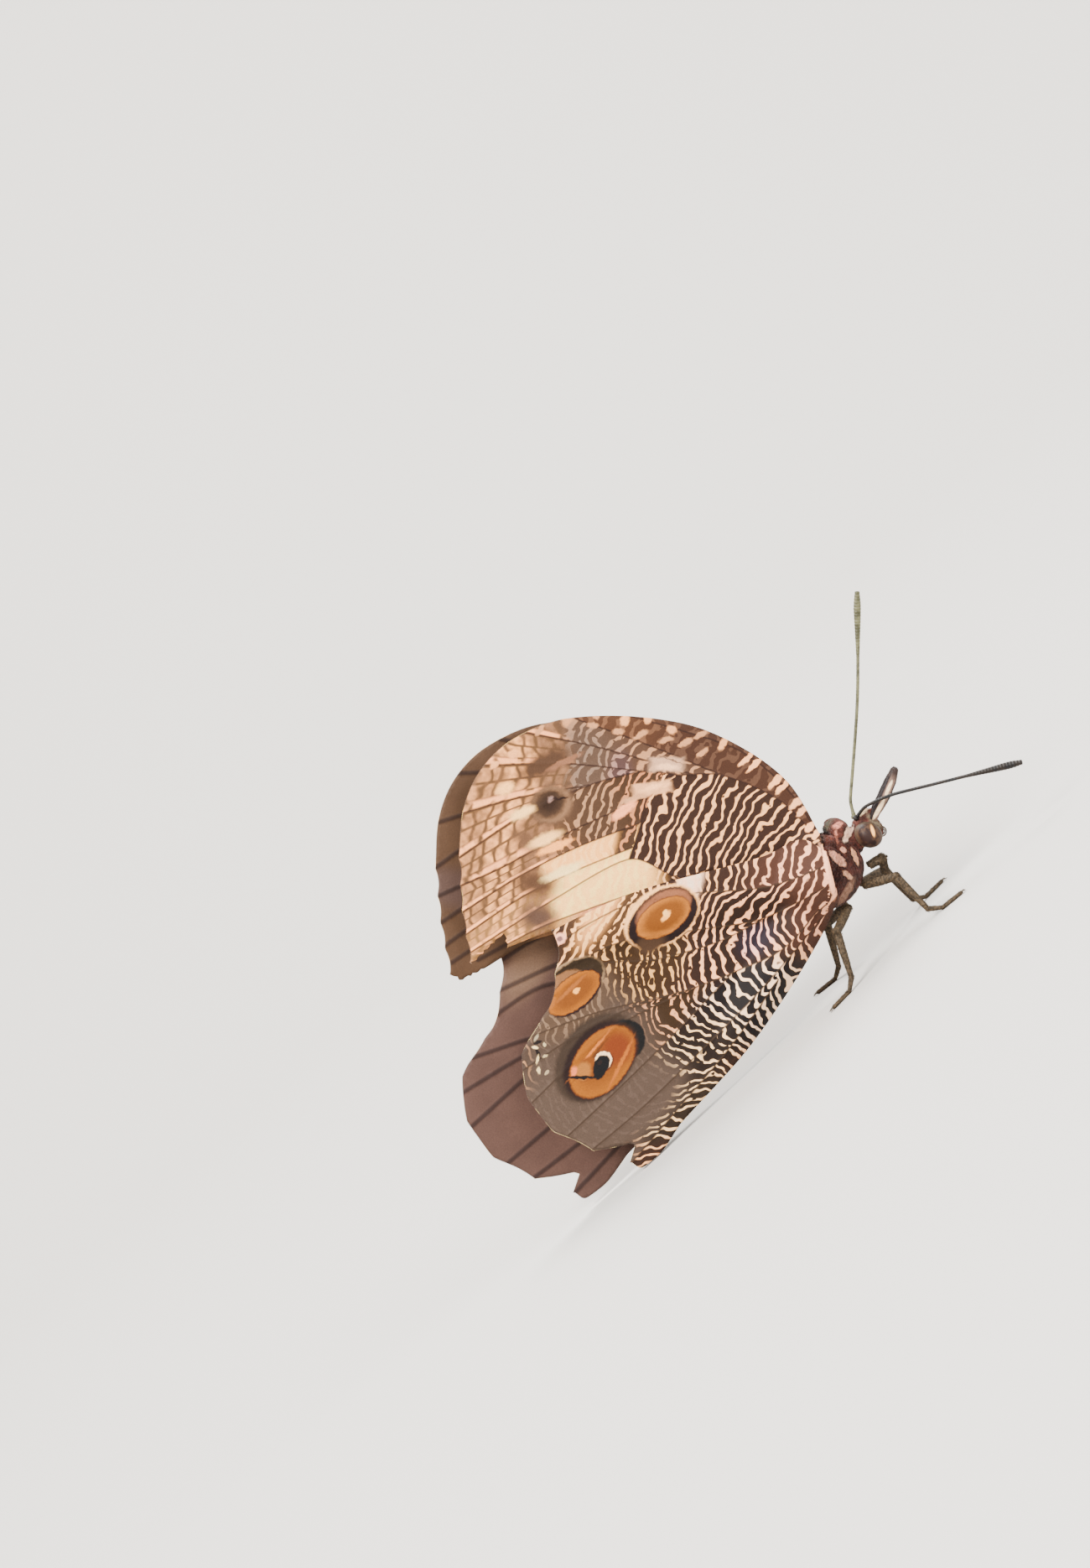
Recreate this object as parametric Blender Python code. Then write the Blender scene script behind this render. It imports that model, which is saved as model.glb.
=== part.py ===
"""An owl-type forest butterfly at life size, standing with its wings closed over its back.

Sizes and places are in millimetres. Planform points are (x, z) from the wing root: x runs
forward to the head and z up. MM turns them to metres, and ROOT_X and ROOT_Z put the wing root
in the model, whose origin is under the middle of the butterfly at floor level.
"""

import math

import bmesh
import bpy
from mathutils import Matrix, Vector
from mathutils.geometry import delaunay_2d_cdt, interpolate_bezier

MM = 0.001
ROOT_X, ROOT_Z = 12.5, 11.25

# Body: the long axis rises to the head
BODY_TILT = math.radians(18)
THORAX_CENTRE, THORAX_HALF = (0.3, -0.3), (4.6, 3.5, 4.1)
COLLAR_CENTRE, COLLAR_RADIUS = (3.75, 2.6), 1.9
ABDOMEN_LENGTH, ABDOMEN_RADIUS = 16.5, 2.0
ABDOMEN_RINGS, ABDOMEN_SIDES = 14, 16
HEAD_CENTRE, HEAD_HALF, HEAD_CHEEK = (6.7, 0.2), (1.5, 1.6, 1.95), 0.75
EYE_CENTRE, EYE_SIDE, EYE_HALF = (6.4, -0.2), 0.85, (1.42, 1.8, 1.65)
GAP, WING_CLEARANCE = 0.3, 0.22

# Wings: one sheet with the veins raised on both faces
SHEET, VEIN_HEIGHT, VEIN_HALF_WIDTH = 0.5, 0.14, 0.42
FORE_STACK, HIND_STEP, ROOT_STEP, SPREAD = 0.68, 1.12, 0.6, 1.1
OUTLINE_STEP, VEIN_STEP, FILL_STEP = 1.3, 2.4, 2.6
SCALLOP_DEPTH = 0.25

FORE_COSTA = [(1.3, 1.7), (2.6, 3.9), (3.8, 10.0), (2.8, 16.0), (0.0, 22.4), (-5.0, 28.4), (-10.8, 33.0)]
FORE_APEX = [(-16.6, 34.9), (-21.4, 34.6), (-25.6, 32.6)]
FORE_MARGIN = [(-29.6, 28.9), (-33.2, 24.4), (-36.5, 19.3)]
FORE_CHIP = [(-35.9, 18.9), (-31.5, 19.0), (-32.4, 17.6)]
FORE_TORNUS = [(-36.0, 17.8), (-33.2, 16.9)]
FORE_INNER = [(-27.0, 15.4), (-15.0, 8.6), (-4.0, 2.3), (0.2, 0.6)]

HIND_COSTA = [(1.7, 2.2), (0.5, 5.0), (-3.8, 6.3), (-9.4, 9.1), (-16.7, 12.8), (-22.8, 14.9), (-27.2, 16.1)]
HIND_MARGIN = [(-28.9, 13.3), (-33.2, 9.9), (-38.2, 8.4), (-41.4, 4.9), (-42.4, -0.4), (-40.4, -5.9)]
HIND_NOTCH = [(-38.4, -7.2), (-36.4, -8.3)]
HIND_LOBE = [(-38.2, -9.4), (-37.8, -10.9), (-36.6, -11.25), (-34.4, -11.25), (-31.0, -10.4)]
HIND_INNER = [(-20.0, -9.3), (-11.0, -7.2), (-4.2, -5.0), (-0.8, -3.0)]

FORE_VEINS = {
    "subcosta": [(2.2, 3.2), (3.0, 10.0), (1.6, 17.4), (-5.6, 29.4)],
    "radius": [(1.9, 2.9), (1.5, 9.5), (-1.2, 17.4), (-6.2, 22.6), (-13.0, 25.0), (-21.0, 27.6), (-29.6, 28.9)],
    "radius_1": [(-1.2, 17.4), (-5.6, 24.6), (-10.0, 32.8)],
    "radius_2": [(-4.2, 20.9), (-9.5, 27.4), (-14.8, 34.6)],
    "radius_3": [(-6.2, 22.6), (-13.5, 28.6), (-20.6, 34.8)],
    "radius_4": [(-13.0, 25.0), (-20.0, 29.4), (-26.0, 32.4)],
    "median_1": [(-8.4, 20.9), (-18.4, 22.7), (-26.8, 24.9), (-31.6, 26.5)],
    "median_2": [(-11.4, 18.7), (-19.1, 20.9), (-26.4, 22.9), (-33.4, 24.1)],
    "median_3": [(-14.0, 16.8), (-20.5, 18.9), (-27.4, 20.9), (-35.0, 22.0)],
    "cell_end": [(-6.2, 22.6), (-10.6, 19.3), (-15.4, 15.9)],
    "cubitus": [(0.9, 2.1), (-6.0, 6.2), (-12.4, 10.4), (-15.4, 15.9), (-25.6, 18.4), (-36.2, 20.2)],
    "cubitus_2": [(-9.0, 8.8), (-18.0, 12.9), (-27.0, 16.6), (-33.0, 18.3)],
}
HIND_VEINS = {
    "costa": [(-0.3, 1.4), (-6.1, 3.4), (-12.4, 8.2), (-17.9, 11.9), (-23.6, 13.7), (-28.4, 14.4)],
    "radius": [(-1.3, -0.6), (-8.3, 0.7), (-14.6, 4.6), (-21.6, 9.4), (-30.2, 12.2)],
    "median_1": [(-8.3, 0.7), (-14.0, 2.2), (-20.5, 5.4), (-26.0, 9.4), (-32.8, 10.5)],
    "median_2": [(-2.4, -2.4), (-9.8, -2.9), (-19.3, 0.1), (-29.5, 5.5), (-36.8, 8.5)],
    "median_3": [(-21.6, 1.2), (-27.5, 3.7), (-33.0, 5.2), (-40.6, 6.4)],
    "cubitus_1": [(-19.3, 0.1), (-26.0, 2.2), (-32.0, 3.2), (-42.1, 2.9)],
    "cubitus_2": [(-15.0, -1.4), (-26.0, -2.2), (-34.0, -2.5), (-42.2, -2.6)],
    "anal_1": [(-3.0, -3.4), (-19.6, -5.3), (-32.0, -5.9), (-40.6, -5.6)],
    "anal_2": [(-12.0, -5.2), (-22.0, -7.6), (-30.0, -8.7), (-38.0, -9.7)],
}
# The far wings reach past the near ones, turned and set back about the wing root
LEFT_FORE = {"turn": 1.6, "grow": 1.025, "shift": (-1.3, 0.7)}
LEFT_HIND = {"turn": -1.4, "grow": 1.06, "shift": (-4.7, 0.7)}
RIGHT = {"turn": 0.0, "grow": 1.0, "shift": (0.0, 0.0)}

# Feelers, palps and legs: centre lines as (x, y, z) from the wing root, y out to the side
ANTENNA_LEFT = [(6.65, 0.45, 2.58), (7.9, 1.1, 4.2), (16.0, 3.6, 11.6), (24.0, 5.9, 20.2)]
ANTENNA_RIGHT = [(6.65, -0.45, 2.6), (8.8, -1.4, 2.85), (11.6, -2.4, 1.5), (15.4, -4.1, -0.4), (24.0, -7.5, -4.6)]
ANTENNA_RADIUS, CLUB_RADIUS = 0.27, 0.5
PALP = [(8.5, 0.62, 0.65), (10.1, 0.74, 1.4), (12.1, 0.8, 2.5), (13.6, 0.82, 3.4)]
PALP_RADII = (0.42, 0.6, 0.62, 0.3)
FORELEG = [(4.1, 1.1, -2.95), (5.9, 1.3, -3.3), (5.0, 1.35, -4.8)]
MIDLEG = [(2.2, 1.7, -4.05), (5.4, 4.6, -5.2), (5.6, 6.0, -10.1), (6.9, 6.6, -11.0), (9.6, 7.4, -11.0)]
HINDLEG = [(-0.6, 1.5, -4.7), (-3.6, 4.4, -5.4), (-5.8, 5.8, -10.1), (-7.0, 6.4, -11.0), (-9.6, 7.5, -11.0)]
LEG_RADII = (0.42, 0.5, 0.34, 0.25, 0.25)
FORELEG_RADII = (0.3, 0.34, 0.25)


def clear_scene():
    for old in list(bpy.data.objects):
        bpy.data.objects.remove(old, do_unlink=True)


def make_material(name, colour, roughness):
    material = bpy.data.materials.new(name)
    material.use_nodes = True
    shader = material.node_tree.nodes["Principled BSDF"]
    shader.inputs["Base Color"].default_value = (*colour, 1.0)
    shader.inputs["Roughness"].default_value = roughness
    shader.inputs["Metallic"].default_value = 0.0
    return material


def place(point):
    """A point from the wing root, in millimetres, as a place in the model, in metres."""
    x, y, z = point
    return Vector(((x + ROOT_X) * MM, y * MM, (z + ROOT_Z) * MM))


def add_object(name, bm, material):
    mesh = bpy.data.meshes.new(name)
    bmesh.ops.triangulate(bm, faces=bm.faces)
    bmesh.ops.recalc_face_normals(bm, faces=bm.faces)
    bm.to_mesh(mesh)
    bm.free()
    mesh.materials.append(material)
    mesh.shade_smooth()
    obj = bpy.data.objects.new(name, mesh)
    bpy.context.scene.collection.objects.link(obj)
    return obj


def smooth_line(points, step):
    """Points about a step apart along a smooth curve through the given 2-D or 3-D points."""
    points = [Vector(p).to_3d() for p in points]
    before = [points[0] * 2 - points[1]] + points[:-1]
    after = points[1:] + [points[-1] * 2 - points[-2]]
    slopes = []
    for here, last, following in zip(points, before, after):
        reach = min((here - last).length, (following - here).length)
        slopes.append((following - last).normalized() * reach / 3)
    line = [points[0]]
    for i in range(len(points) - 1):
        a, b = points[i], points[i + 1]
        count = max(1, round((b - a).length / step))
        line += interpolate_bezier(a, a + slopes[i], b - slopes[i + 1], b, count + 1)[1:]
    return line


# Wings


def root_turn(point, pose):
    """A planform point turned, grown and shifted about the wing root."""
    spin = Matrix.Rotation(math.radians(pose["turn"]), 2)
    moved = spin @ Vector(point[:2]) * pose["grow"]
    reach = min(1.0, Vector(point[:2]).length / 12)
    return moved + Vector(pose["shift"]) * reach


def scalloped(line, veins_at_margin):
    """A margin line that dips a little between the veins."""
    ends = [0.0]
    for a, b in zip(line, line[1:]):
        ends.append(ends[-1] + (b - a).length)
    out = []
    for i, point in enumerate(line):
        ahead = line[min(i + 1, len(line) - 1)] - line[max(i - 1, 0)]
        inward = Vector((-ahead.y, ahead.x, 0)).normalized()
        wave = abs(math.sin(math.pi * veins_at_margin * ends[i] / ends[-1]))
        out.append(point + inward * SCALLOP_DEPTH * wave)
    return out


def fore_outline(chipped):
    tornus = FORE_CHIP if chipped else FORE_TORNUS
    front = smooth_line(FORE_COSTA + FORE_APEX + FORE_MARGIN[:1], OUTLINE_STEP)
    margin = smooth_line(FORE_MARGIN, OUTLINE_STEP)
    corner = [Vector(p).to_3d() for p in tornus]
    inner = smooth_line([tornus[-1]] + FORE_INNER, OUTLINE_STEP * 1.6)
    return front[:-1] + scalloped(margin, 4) + corner[:-1] + inner


def hind_outline():
    front = smooth_line(HIND_COSTA, OUTLINE_STEP * 1.3)
    margin = smooth_line([HIND_COSTA[-1]] + HIND_MARGIN, OUTLINE_STEP)
    notch = smooth_line([HIND_MARGIN[-1]] + HIND_NOTCH, OUTLINE_STEP)
    lobe = [Vector(p).to_3d() for p in HIND_LOBE]
    inner = smooth_line([HIND_LOBE[-1]] + HIND_INNER, OUTLINE_STEP * 1.8)
    return front[:-1] + scalloped(margin, 6)[:-1] + notch + lobe[:-1] + inner


def inside(point, polygon):
    x, y = point[0], point[1]
    odd = False
    for a, b in zip(polygon, polygon[1:] + polygon[:1]):
        if (a[1] > y) != (b[1] > y) and x < (b[0] - a[0]) * (y - a[1]) / (b[1] - a[1]) + a[0]:
            odd = not odd
    return odd


def distance_to_line(point, line):
    best = 1e9
    for a, b in zip(line, line[1:]):
        along = b - a
        t = max(0.0, min(1.0, (point - a).dot(along) / max(along.length_squared, 1e-12)))
        best = min(best, (point - a - along * t).length)
    return best


def planform_mesh(outline, veins):
    """Triangles of a flat wing whose edges run along each vein's crest and feet."""
    ring = [p.to_2d() for p in outline]
    points = list(ring)
    edges = []
    lines = []
    for route in veins.values():
        crest = [p.to_2d() for p in smooth_line(route, VEIN_STEP)]
        lines.append(crest)
        for side in (-1, 0, 1):
            first = len(points)
            for i, p in enumerate(crest):
                ahead = crest[min(i + 1, len(crest) - 1)] - crest[max(i - 1, 0)]
                across = Vector((-ahead.y, ahead.x)).normalized() * VEIN_HALF_WIDTH
                points.append(p + across * side)
            edges += [(j, j + 1) for j in range(first, len(points) - 1)]
    low_x, high_x = min(p.x for p in ring), max(p.x for p in ring)
    low_y, high_y = min(p.y for p in ring), max(p.y for p in ring)
    rows = int((high_y - low_y) / (FILL_STEP * 0.87)) + 1
    for row in range(rows):
        y = low_y + row * FILL_STEP * 0.87
        x = low_x + (row % 2) * FILL_STEP / 2
        while x < high_x:
            spot = Vector((x, y))
            clear = all(distance_to_line(spot, line) > FILL_STEP * 0.45 for line in lines)
            if clear and inside(spot, ring) and distance_to_line(spot, ring + ring[:1]) > 1.2:
                points.append(spot)
            x += FILL_STEP
    made, _, faces, _, _, _ = delaunay_2d_cdt(points, edges, [list(range(len(ring)))], 0, 0.02)
    kept = []
    for face in faces:
        middle = sum((made[i] for i in face), Vector((0, 0))) / len(face)
        if inside(middle, ring):
            kept.append(face)
    flat = bmesh.new()
    verts = [flat.verts.new((p.x, p.y, 0)) for p in made]
    for face in kept:
        flat.faces.new([verts[i] for i in face])
    bmesh.ops.delete(flat, geom=[v for v in flat.verts if not v.link_faces], context="VERTS")
    bmesh.ops.remove_doubles(flat, verts=flat.verts, dist=0.12)
    bmesh.ops.dissolve_degenerate(flat, edges=flat.edges, dist=0.02)
    bmesh.ops.triangulate(flat, faces=flat.faces)
    return flat, lines


def soft_max(a, b, blend):
    return 0.5 * (a + b + math.sqrt((a - b) ** 2 + blend**2))


def body_half_width(x, z):
    """Half the body's width at a side-view place, falling off straight past its outline."""
    widest = 0.0
    bodies = [(THORAX_CENTRE, THORAX_HALF, BODY_TILT), (ABDOMEN_MIDDLE, ABDOMEN_HALF, BODY_TILT)]
    for (cx, cz), (half_long, half_wide, half_high), tilt in bodies:
        dx, dz = x - cx, z - cz
        along = (dx * math.cos(tilt) + dz * math.sin(tilt)) / half_long
        up = (-dx * math.sin(tilt) + dz * math.cos(tilt)) / half_high
        reach = math.hypot(along, up)
        bend = 0.72
        if reach < bend:
            width = half_wide * math.sqrt(1 - reach**2)
        else:
            at_bend = half_wide * math.sqrt(1 - bend**2)
            fall = half_wide * bend / math.sqrt(1 - bend**2)
            width = at_bend - fall * (reach - bend)
        widest = max(widest, width)
    return widest


def fore_inner_side(x, z, pose):
    """How far a place lies above the forewing's inner edge, in millimetres."""
    a = root_turn(FORE_INNER[-1], pose)
    b = root_turn(FORE_INNER[0], pose)
    along = (b - a).normalized()
    away = Vector((x, z)) - a
    return -(away.x * along.y - away.y * along.x) * (1 if along.x > 0 else -1)


def wing_offset(x, z, hind, fore_pose):
    """Distance of a wing's middle sheet from the butterfly's middle plane."""
    spread = SPREAD * ((x * x + z * z) / 40**2)
    hug = body_half_width(x, z) + GAP + WING_CLEARANCE + SHEET / 2 + VEIN_HEIGHT
    middle = soft_max(FORE_STACK + spread, hug, 0.4)
    if not hind:
        return middle
    over = min(1.0, max(0.0, (fore_inner_side(x, z, fore_pose) + 5.0) / 4.0))
    over = over * over * (3 - 2 * over)
    slant = 0.1
    slope_x = (wing_offset(x + slant, z, False, fore_pose) - middle) / slant
    slope_z = (wing_offset(x, z + slant, False, fore_pose) - middle) / slant
    step = HIND_STEP + ROOT_STEP * math.exp(-(x * x + z * z) / 40)
    return middle + step * over * math.sqrt(1 + slope_x**2 + slope_z**2)


def make_wing(name, outline, veins, pose, hind, side, material):
    flat, lines = planform_mesh(outline, veins)
    fore_pose = LEFT_FORE if side > 0 else RIGHT
    bm = bmesh.new()
    inner, outer = {}, {}
    step = 0.1
    for v in flat.verts:
        spot = v.co.to_2d()
        nearest = min(distance_to_line(spot, line) for line in lines)
        rise = VEIN_HEIGHT * max(0.0, 1 - nearest / VEIN_HALF_WIDTH)
        x, z = root_turn(spot, pose)
        middle = wing_offset(x, z, hind, fore_pose)
        slope_x = (wing_offset(x + step, z, hind, fore_pose) - middle) / step
        slope_z = (wing_offset(x, z + step, hind, fore_pose) - middle) / step
        half = (SHEET / 2 + rise) * math.sqrt(1 + slope_x**2 + slope_z**2)
        inner[v] = bm.verts.new(place((x, side * (middle - half), z)))
        outer[v] = bm.verts.new(place((x, side * (middle + half), z)))
    for face in flat.faces:
        bm.faces.new([outer[v] for v in face.verts])
        bm.faces.new([inner[v] for v in reversed(face.verts)])
    for edge in flat.edges:
        if len(edge.link_faces) == 1:
            a, b = edge.verts
            bm.faces.new([inner[a], inner[b], outer[b], outer[a]])
    flat.free()
    return add_object(name, bm, material)


# Body


def add_ellipsoid(bm, centre, half, tilt, rings, sides):
    """An ellipsoid whose long axis runs forward and rises by tilt."""
    turn = Matrix.Rotation(-tilt, 4, "Y") @ Matrix.Diagonal((*[h * MM for h in half], 1))
    shape = Matrix.Translation(place(centre)) @ turn @ Matrix.Rotation(math.pi / 2, 4, "Y")
    bmesh.ops.create_uvsphere(bm, u_segments=sides, v_segments=rings, radius=1, matrix=shape)


def cut_flat(bm, side, level, keep_outer):
    """Cuts a closed shape by an upright plane at y = side * level and closes the cut."""
    geometry = list(bm.verts) + list(bm.edges) + list(bm.faces)
    cut = bmesh.ops.bisect_plane(
        bm,
        geom=geometry,
        dist=1e-7,
        plane_co=(0, side * level * MM, 0),
        plane_no=(0, side, 0),
        clear_inner=keep_outer,
        clear_outer=not keep_outer,
    )
    rim = [e for e in cut["geom_cut"] if isinstance(e, bmesh.types.BMEdge)]
    bmesh.ops.holes_fill(bm, edges=rim)


def along_body(start, distance):
    return start[0] + distance * math.cos(BODY_TILT), start[1] + distance * math.sin(BODY_TILT)


ABDOMEN_ROOT = along_body(THORAX_CENTRE, -THORAX_HALF[0] + 0.7)
ABDOMEN_MIDDLE = along_body(ABDOMEN_ROOT, -ABDOMEN_LENGTH / 2)
ABDOMEN_HALF = (ABDOMEN_LENGTH / 2 + 1.2, ABDOMEN_RADIUS + 0.15, ABDOMEN_RADIUS + 0.15)


def join_pieces(name, pieces, material):
    """One closed body from pieces that overlap, made by a Boolean union."""
    group = bpy.data.collections.new(name + "_pieces")
    bpy.context.scene.collection.children.link(group)
    for piece in pieces[1:]:
        bpy.context.scene.collection.objects.unlink(piece)
        group.objects.link(piece)
    first = pieces[0]
    union = first.modifiers.new("union", "BOOLEAN")
    union.operation = "UNION"
    union.operand_type = "COLLECTION"
    union.collection = group
    union.solver = "EXACT"
    graph = bpy.context.evaluated_depsgraph_get()
    mesh = bpy.data.meshes.new_from_object(first.evaluated_get(graph))
    for piece in pieces:
        bpy.data.objects.remove(piece, do_unlink=True)
    bpy.data.collections.remove(group)
    bm = bmesh.new()
    bm.from_mesh(mesh)
    keep_largest_surface(bm)
    return add_object(name, bm, material)


def keep_largest_surface(bm):
    left = set(bm.faces)
    surfaces = []
    while left:
        stack = [left.pop()]
        surface = list(stack)
        while stack:
            for edge in stack.pop().edges:
                for face in edge.link_faces:
                    if face in left:
                        left.remove(face)
                        stack.append(face)
                        surface.append(face)
        surfaces.append(surface)
    surfaces.sort(key=len)
    for surface in surfaces[:-1]:
        bmesh.ops.delete(bm, geom=surface, context="FACES")


def make_thorax(material):
    main = bmesh.new()
    add_ellipsoid(main, (THORAX_CENTRE[0], 0, THORAX_CENTRE[1]), THORAX_HALF, BODY_TILT, 14, 20)
    collar = bmesh.new()
    half = (COLLAR_RADIUS * 0.62, COLLAR_RADIUS * 1.02, COLLAR_RADIUS)
    add_ellipsoid(collar, (COLLAR_CENTRE[0], 0, COLLAR_CENTRE[1]), half, BODY_TILT, 10, 16)
    pieces = [add_object("thorax_main", main, material), add_object("collar", collar, material)]
    thorax = join_pieces("thorax", pieces, material)
    thorax.name = "thorax"


def make_head(material):
    bm = bmesh.new()
    add_ellipsoid(bm, (HEAD_CENTRE[0], 0, HEAD_CENTRE[1]), HEAD_HALF, BODY_TILT, 12, 16)
    for side in (-1, 1):
        cut_flat(bm, side, HEAD_CHEEK, False)
    add_object("head", bm, material)


def make_abdomen(material):
    """Segments swell a little between the joints and narrow to the tip."""
    line = []
    radii = []
    start = along_body(THORAX_CENTRE, -THORAX_HALF[0] - GAP)
    for i in range(ABDOMEN_RINGS * 2 + 1):
        t = i / (ABDOMEN_RINGS * 2)
        x, z = along_body(start, -ABDOMEN_LENGTH * t)
        shape = (1 - abs(2 * t - 0.82) ** 3 * 0.55) if t < 0.41 else (1 - ((t - 0.41) / 0.6) ** 2.4)
        swell = 0.05 * math.cos(math.pi * i)
        line.append(Vector((x, 0, z)))
        radii.append(max(0.25, ABDOMEN_RADIUS * (shape + swell) - 0.1))
    make_tube("abdomen", line, radii, ABDOMEN_SIDES, material)


def make_eyes(material):
    for side, name in ((1, "eye_left"), (-1, "eye_right")):
        bm = bmesh.new()
        centre = (EYE_CENTRE[0], side * EYE_SIDE, EYE_CENTRE[1])
        add_ellipsoid(bm, centre, EYE_HALF, BODY_TILT, 12, 18)
        cut_flat(bm, side, HEAD_CHEEK + GAP, True)
        add_object(name, bm, material)


# Feelers, palps and legs


def tube_rings(bm, line, radii, sides):
    """A closed tube along a line with a radius at each point."""
    rings = []
    side_way = Vector((0, 1, 0))
    for i, centre in enumerate(line):
        ahead = (line[min(i + 1, len(line) - 1)] - line[max(i - 1, 0)]).normalized()
        up = side_way.cross(ahead).normalized()
        across = ahead.cross(up)
        ring = []
        for k in range(sides):
            angle = 2 * math.pi * k / sides
            spot = centre + (up * math.cos(angle) + across * math.sin(angle)) * radii[i]
            ring.append(bm.verts.new(place(spot)))
        rings.append(ring)
    for a, b in zip(rings, rings[1:]):
        for k in range(sides):
            bm.faces.new([a[k], a[(k + 1) % sides], b[(k + 1) % sides], b[k]])
    bm.faces.new(reversed(rings[0]))
    bm.faces.new(rings[-1])


def make_tube(name, line, radii, sides, material):
    bm = bmesh.new()
    tube_rings(bm, line, radii, sides)
    return add_object(name, bm, material)


def spread_radii(radii, count):
    """Radii at the main points, spread evenly over a longer list."""
    out = []
    for i in range(count):
        t = i / (count - 1) * (len(radii) - 1)
        k = min(int(t), len(radii) - 2)
        out.append(radii[k] + (radii[k + 1] - radii[k]) * (t - k))
    return out


def make_antennae(material):
    for name, route in (("antenna_left", ANTENNA_LEFT), ("antenna_right", ANTENNA_RIGHT)):
        line = smooth_line(route, 1.3)
        radii = []
        for i in range(len(line)):
            t = i / (len(line) - 1)
            club = max(0.0, min(1.0, (t - 0.74) / 0.2)) * (1 - max(0.0, (t - 0.95) / 0.05) * 0.6)
            radii.append(ANTENNA_RADIUS + (CLUB_RADIUS - ANTENNA_RADIUS) * club)
        make_tube(name, line, radii, 8, material)


def make_palps(material):
    for side, name in ((1, "palp_left"), (-1, "palp_right")):
        line = smooth_line([(x, side * y, z) for x, y, z in PALP], 0.9)
        make_tube(name, line, spread_radii(PALP_RADII, len(line)), 10, material)


def make_forelegs(material):
    for side, name in ((1, "foreleg_left"), (-1, "foreleg_right")):
        line = smooth_line([(x, side * y, z) for x, y, z in FORELEG], 0.8)
        make_tube(name, line, spread_radii(FORELEG_RADII, len(line)), 8, material)


def make_walking_legs(material):
    """Hip, knee and ankle, then a foot that lies flat on the floor."""
    for leg, route in (("midleg", MIDLEG), ("hindleg", HINDLEG)):
        for side, end in ((1, "_left"), (-1, "_right")):
            joints = [Vector((x, side * y, z)) for x, y, z in route]
            pieces = []
            for i, (a, b) in enumerate(zip(joints, joints[1:])):
                count = 4
                line = [a.lerp(b, k / count) for k in range(count + 1)]
                radii = spread_radii((LEG_RADII[i], LEG_RADII[i + 1]), count + 1)
                pieces.append(make_tube(leg + end + str(i), line, radii, 8, material))
                if i < 3:
                    bm = bmesh.new()
                    size = [LEG_RADII[i + 1] * 1.12] * 3
                    add_ellipsoid(bm, b, size, 0, 6, 8)
                    pieces.append(add_object(leg + end + "knee" + str(i), bm, material))
            made = join_pieces(leg + end, pieces, material)
            flatten_foot(made)


def flatten_foot(leg):
    """The lowest points of a foot come to the floor, as small flats."""
    floor = 0.25 * MM
    for v in leg.data.vertices:
        if v.co.z < floor:
            v.co.z = 0.0


def main():
    clear_scene()
    wing = make_material("wing_scales", (0.31, 0.18, 0.11), 0.75)
    fur = make_material("body_fur", (0.2, 0.11, 0.09), 0.9)
    eye = make_material("eye_lens", (0.13, 0.08, 0.07), 0.35)
    shell = make_material("shell", (0.12, 0.08, 0.06), 0.5)
    make_thorax(fur)
    make_head(fur)
    make_abdomen(fur)
    make_eyes(eye)
    make_antennae(shell)
    make_palps(fur)
    make_forelegs(fur)
    make_walking_legs(shell)
    make_wing("forewing_right", fore_outline(True), FORE_VEINS, RIGHT, False, -1, wing)
    make_wing("forewing_left", fore_outline(False), FORE_VEINS, LEFT_FORE, False, 1, wing)
    make_wing("hindwing_right", hind_outline(), HIND_VEINS, RIGHT, True, -1, wing)
    make_wing("hindwing_left", hind_outline(), HIND_VEINS, LEFT_HIND, True, 1, wing)
    body = bpy.data.objects.new("butterfly", None)
    bpy.context.scene.collection.objects.link(body)
    for obj in list(bpy.context.scene.collection.objects):
        if obj.type == "MESH":
            obj.parent = body


main()
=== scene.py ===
import math
from functools import partial

import bmesh
import bpy
import numpy as np
from mathutils import Matrix, Vector
from mathutils.geometry import delaunay_2d_cdt, interpolate_bezier


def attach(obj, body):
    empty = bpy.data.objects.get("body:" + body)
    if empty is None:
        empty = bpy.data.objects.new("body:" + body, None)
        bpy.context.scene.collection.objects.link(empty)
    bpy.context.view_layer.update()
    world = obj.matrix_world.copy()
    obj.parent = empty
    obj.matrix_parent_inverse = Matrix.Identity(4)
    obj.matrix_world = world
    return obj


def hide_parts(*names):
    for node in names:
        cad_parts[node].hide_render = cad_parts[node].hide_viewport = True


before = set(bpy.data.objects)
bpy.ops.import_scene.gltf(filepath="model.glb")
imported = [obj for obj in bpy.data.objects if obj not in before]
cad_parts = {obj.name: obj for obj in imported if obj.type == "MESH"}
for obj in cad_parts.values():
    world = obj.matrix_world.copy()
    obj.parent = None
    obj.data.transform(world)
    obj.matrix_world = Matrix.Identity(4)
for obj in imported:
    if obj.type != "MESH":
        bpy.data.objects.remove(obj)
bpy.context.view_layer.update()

mm = 0.001
rootX, rootZ = 12.5, 11.25  # the wing root in the model, in millimetres
wingRoot = np.array([rootX, 0, rootZ])
bodyTilt = math.radians(18)
tiltCos, tiltSin = math.cos(bodyTilt), math.sin(bodyTilt)
rng = np.random.default_rng(7)


def linear(hexColour):
    parts = [int(hexColour[i:i + 2], 16) / 255 for i in (1, 3, 5)]
    return tuple(c / 12.92 if c <= 0.04045 else ((c + 0.055) / 1.055) ** 2.4 for c in parts) + (1.0,)


def firstInUse(sockets):
    return next(socket for socket in sockets if socket.enabled)


def setSockets(node, values):
    # a value is plain, a hex colour, a socket, or a node, which gives its first output
    for key, value in values.items():
        if isinstance(value, bpy.types.Node):
            value = firstInUse(value.outputs)
        if isinstance(value, bpy.types.NodeSocket):
            node.id_data.links.new(value, node.inputs[key])
        else:
            isInk = isinstance(value, str) and value.startswith("#")
            node.inputs[key].default_value = linear(value) if isInk else value


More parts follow.
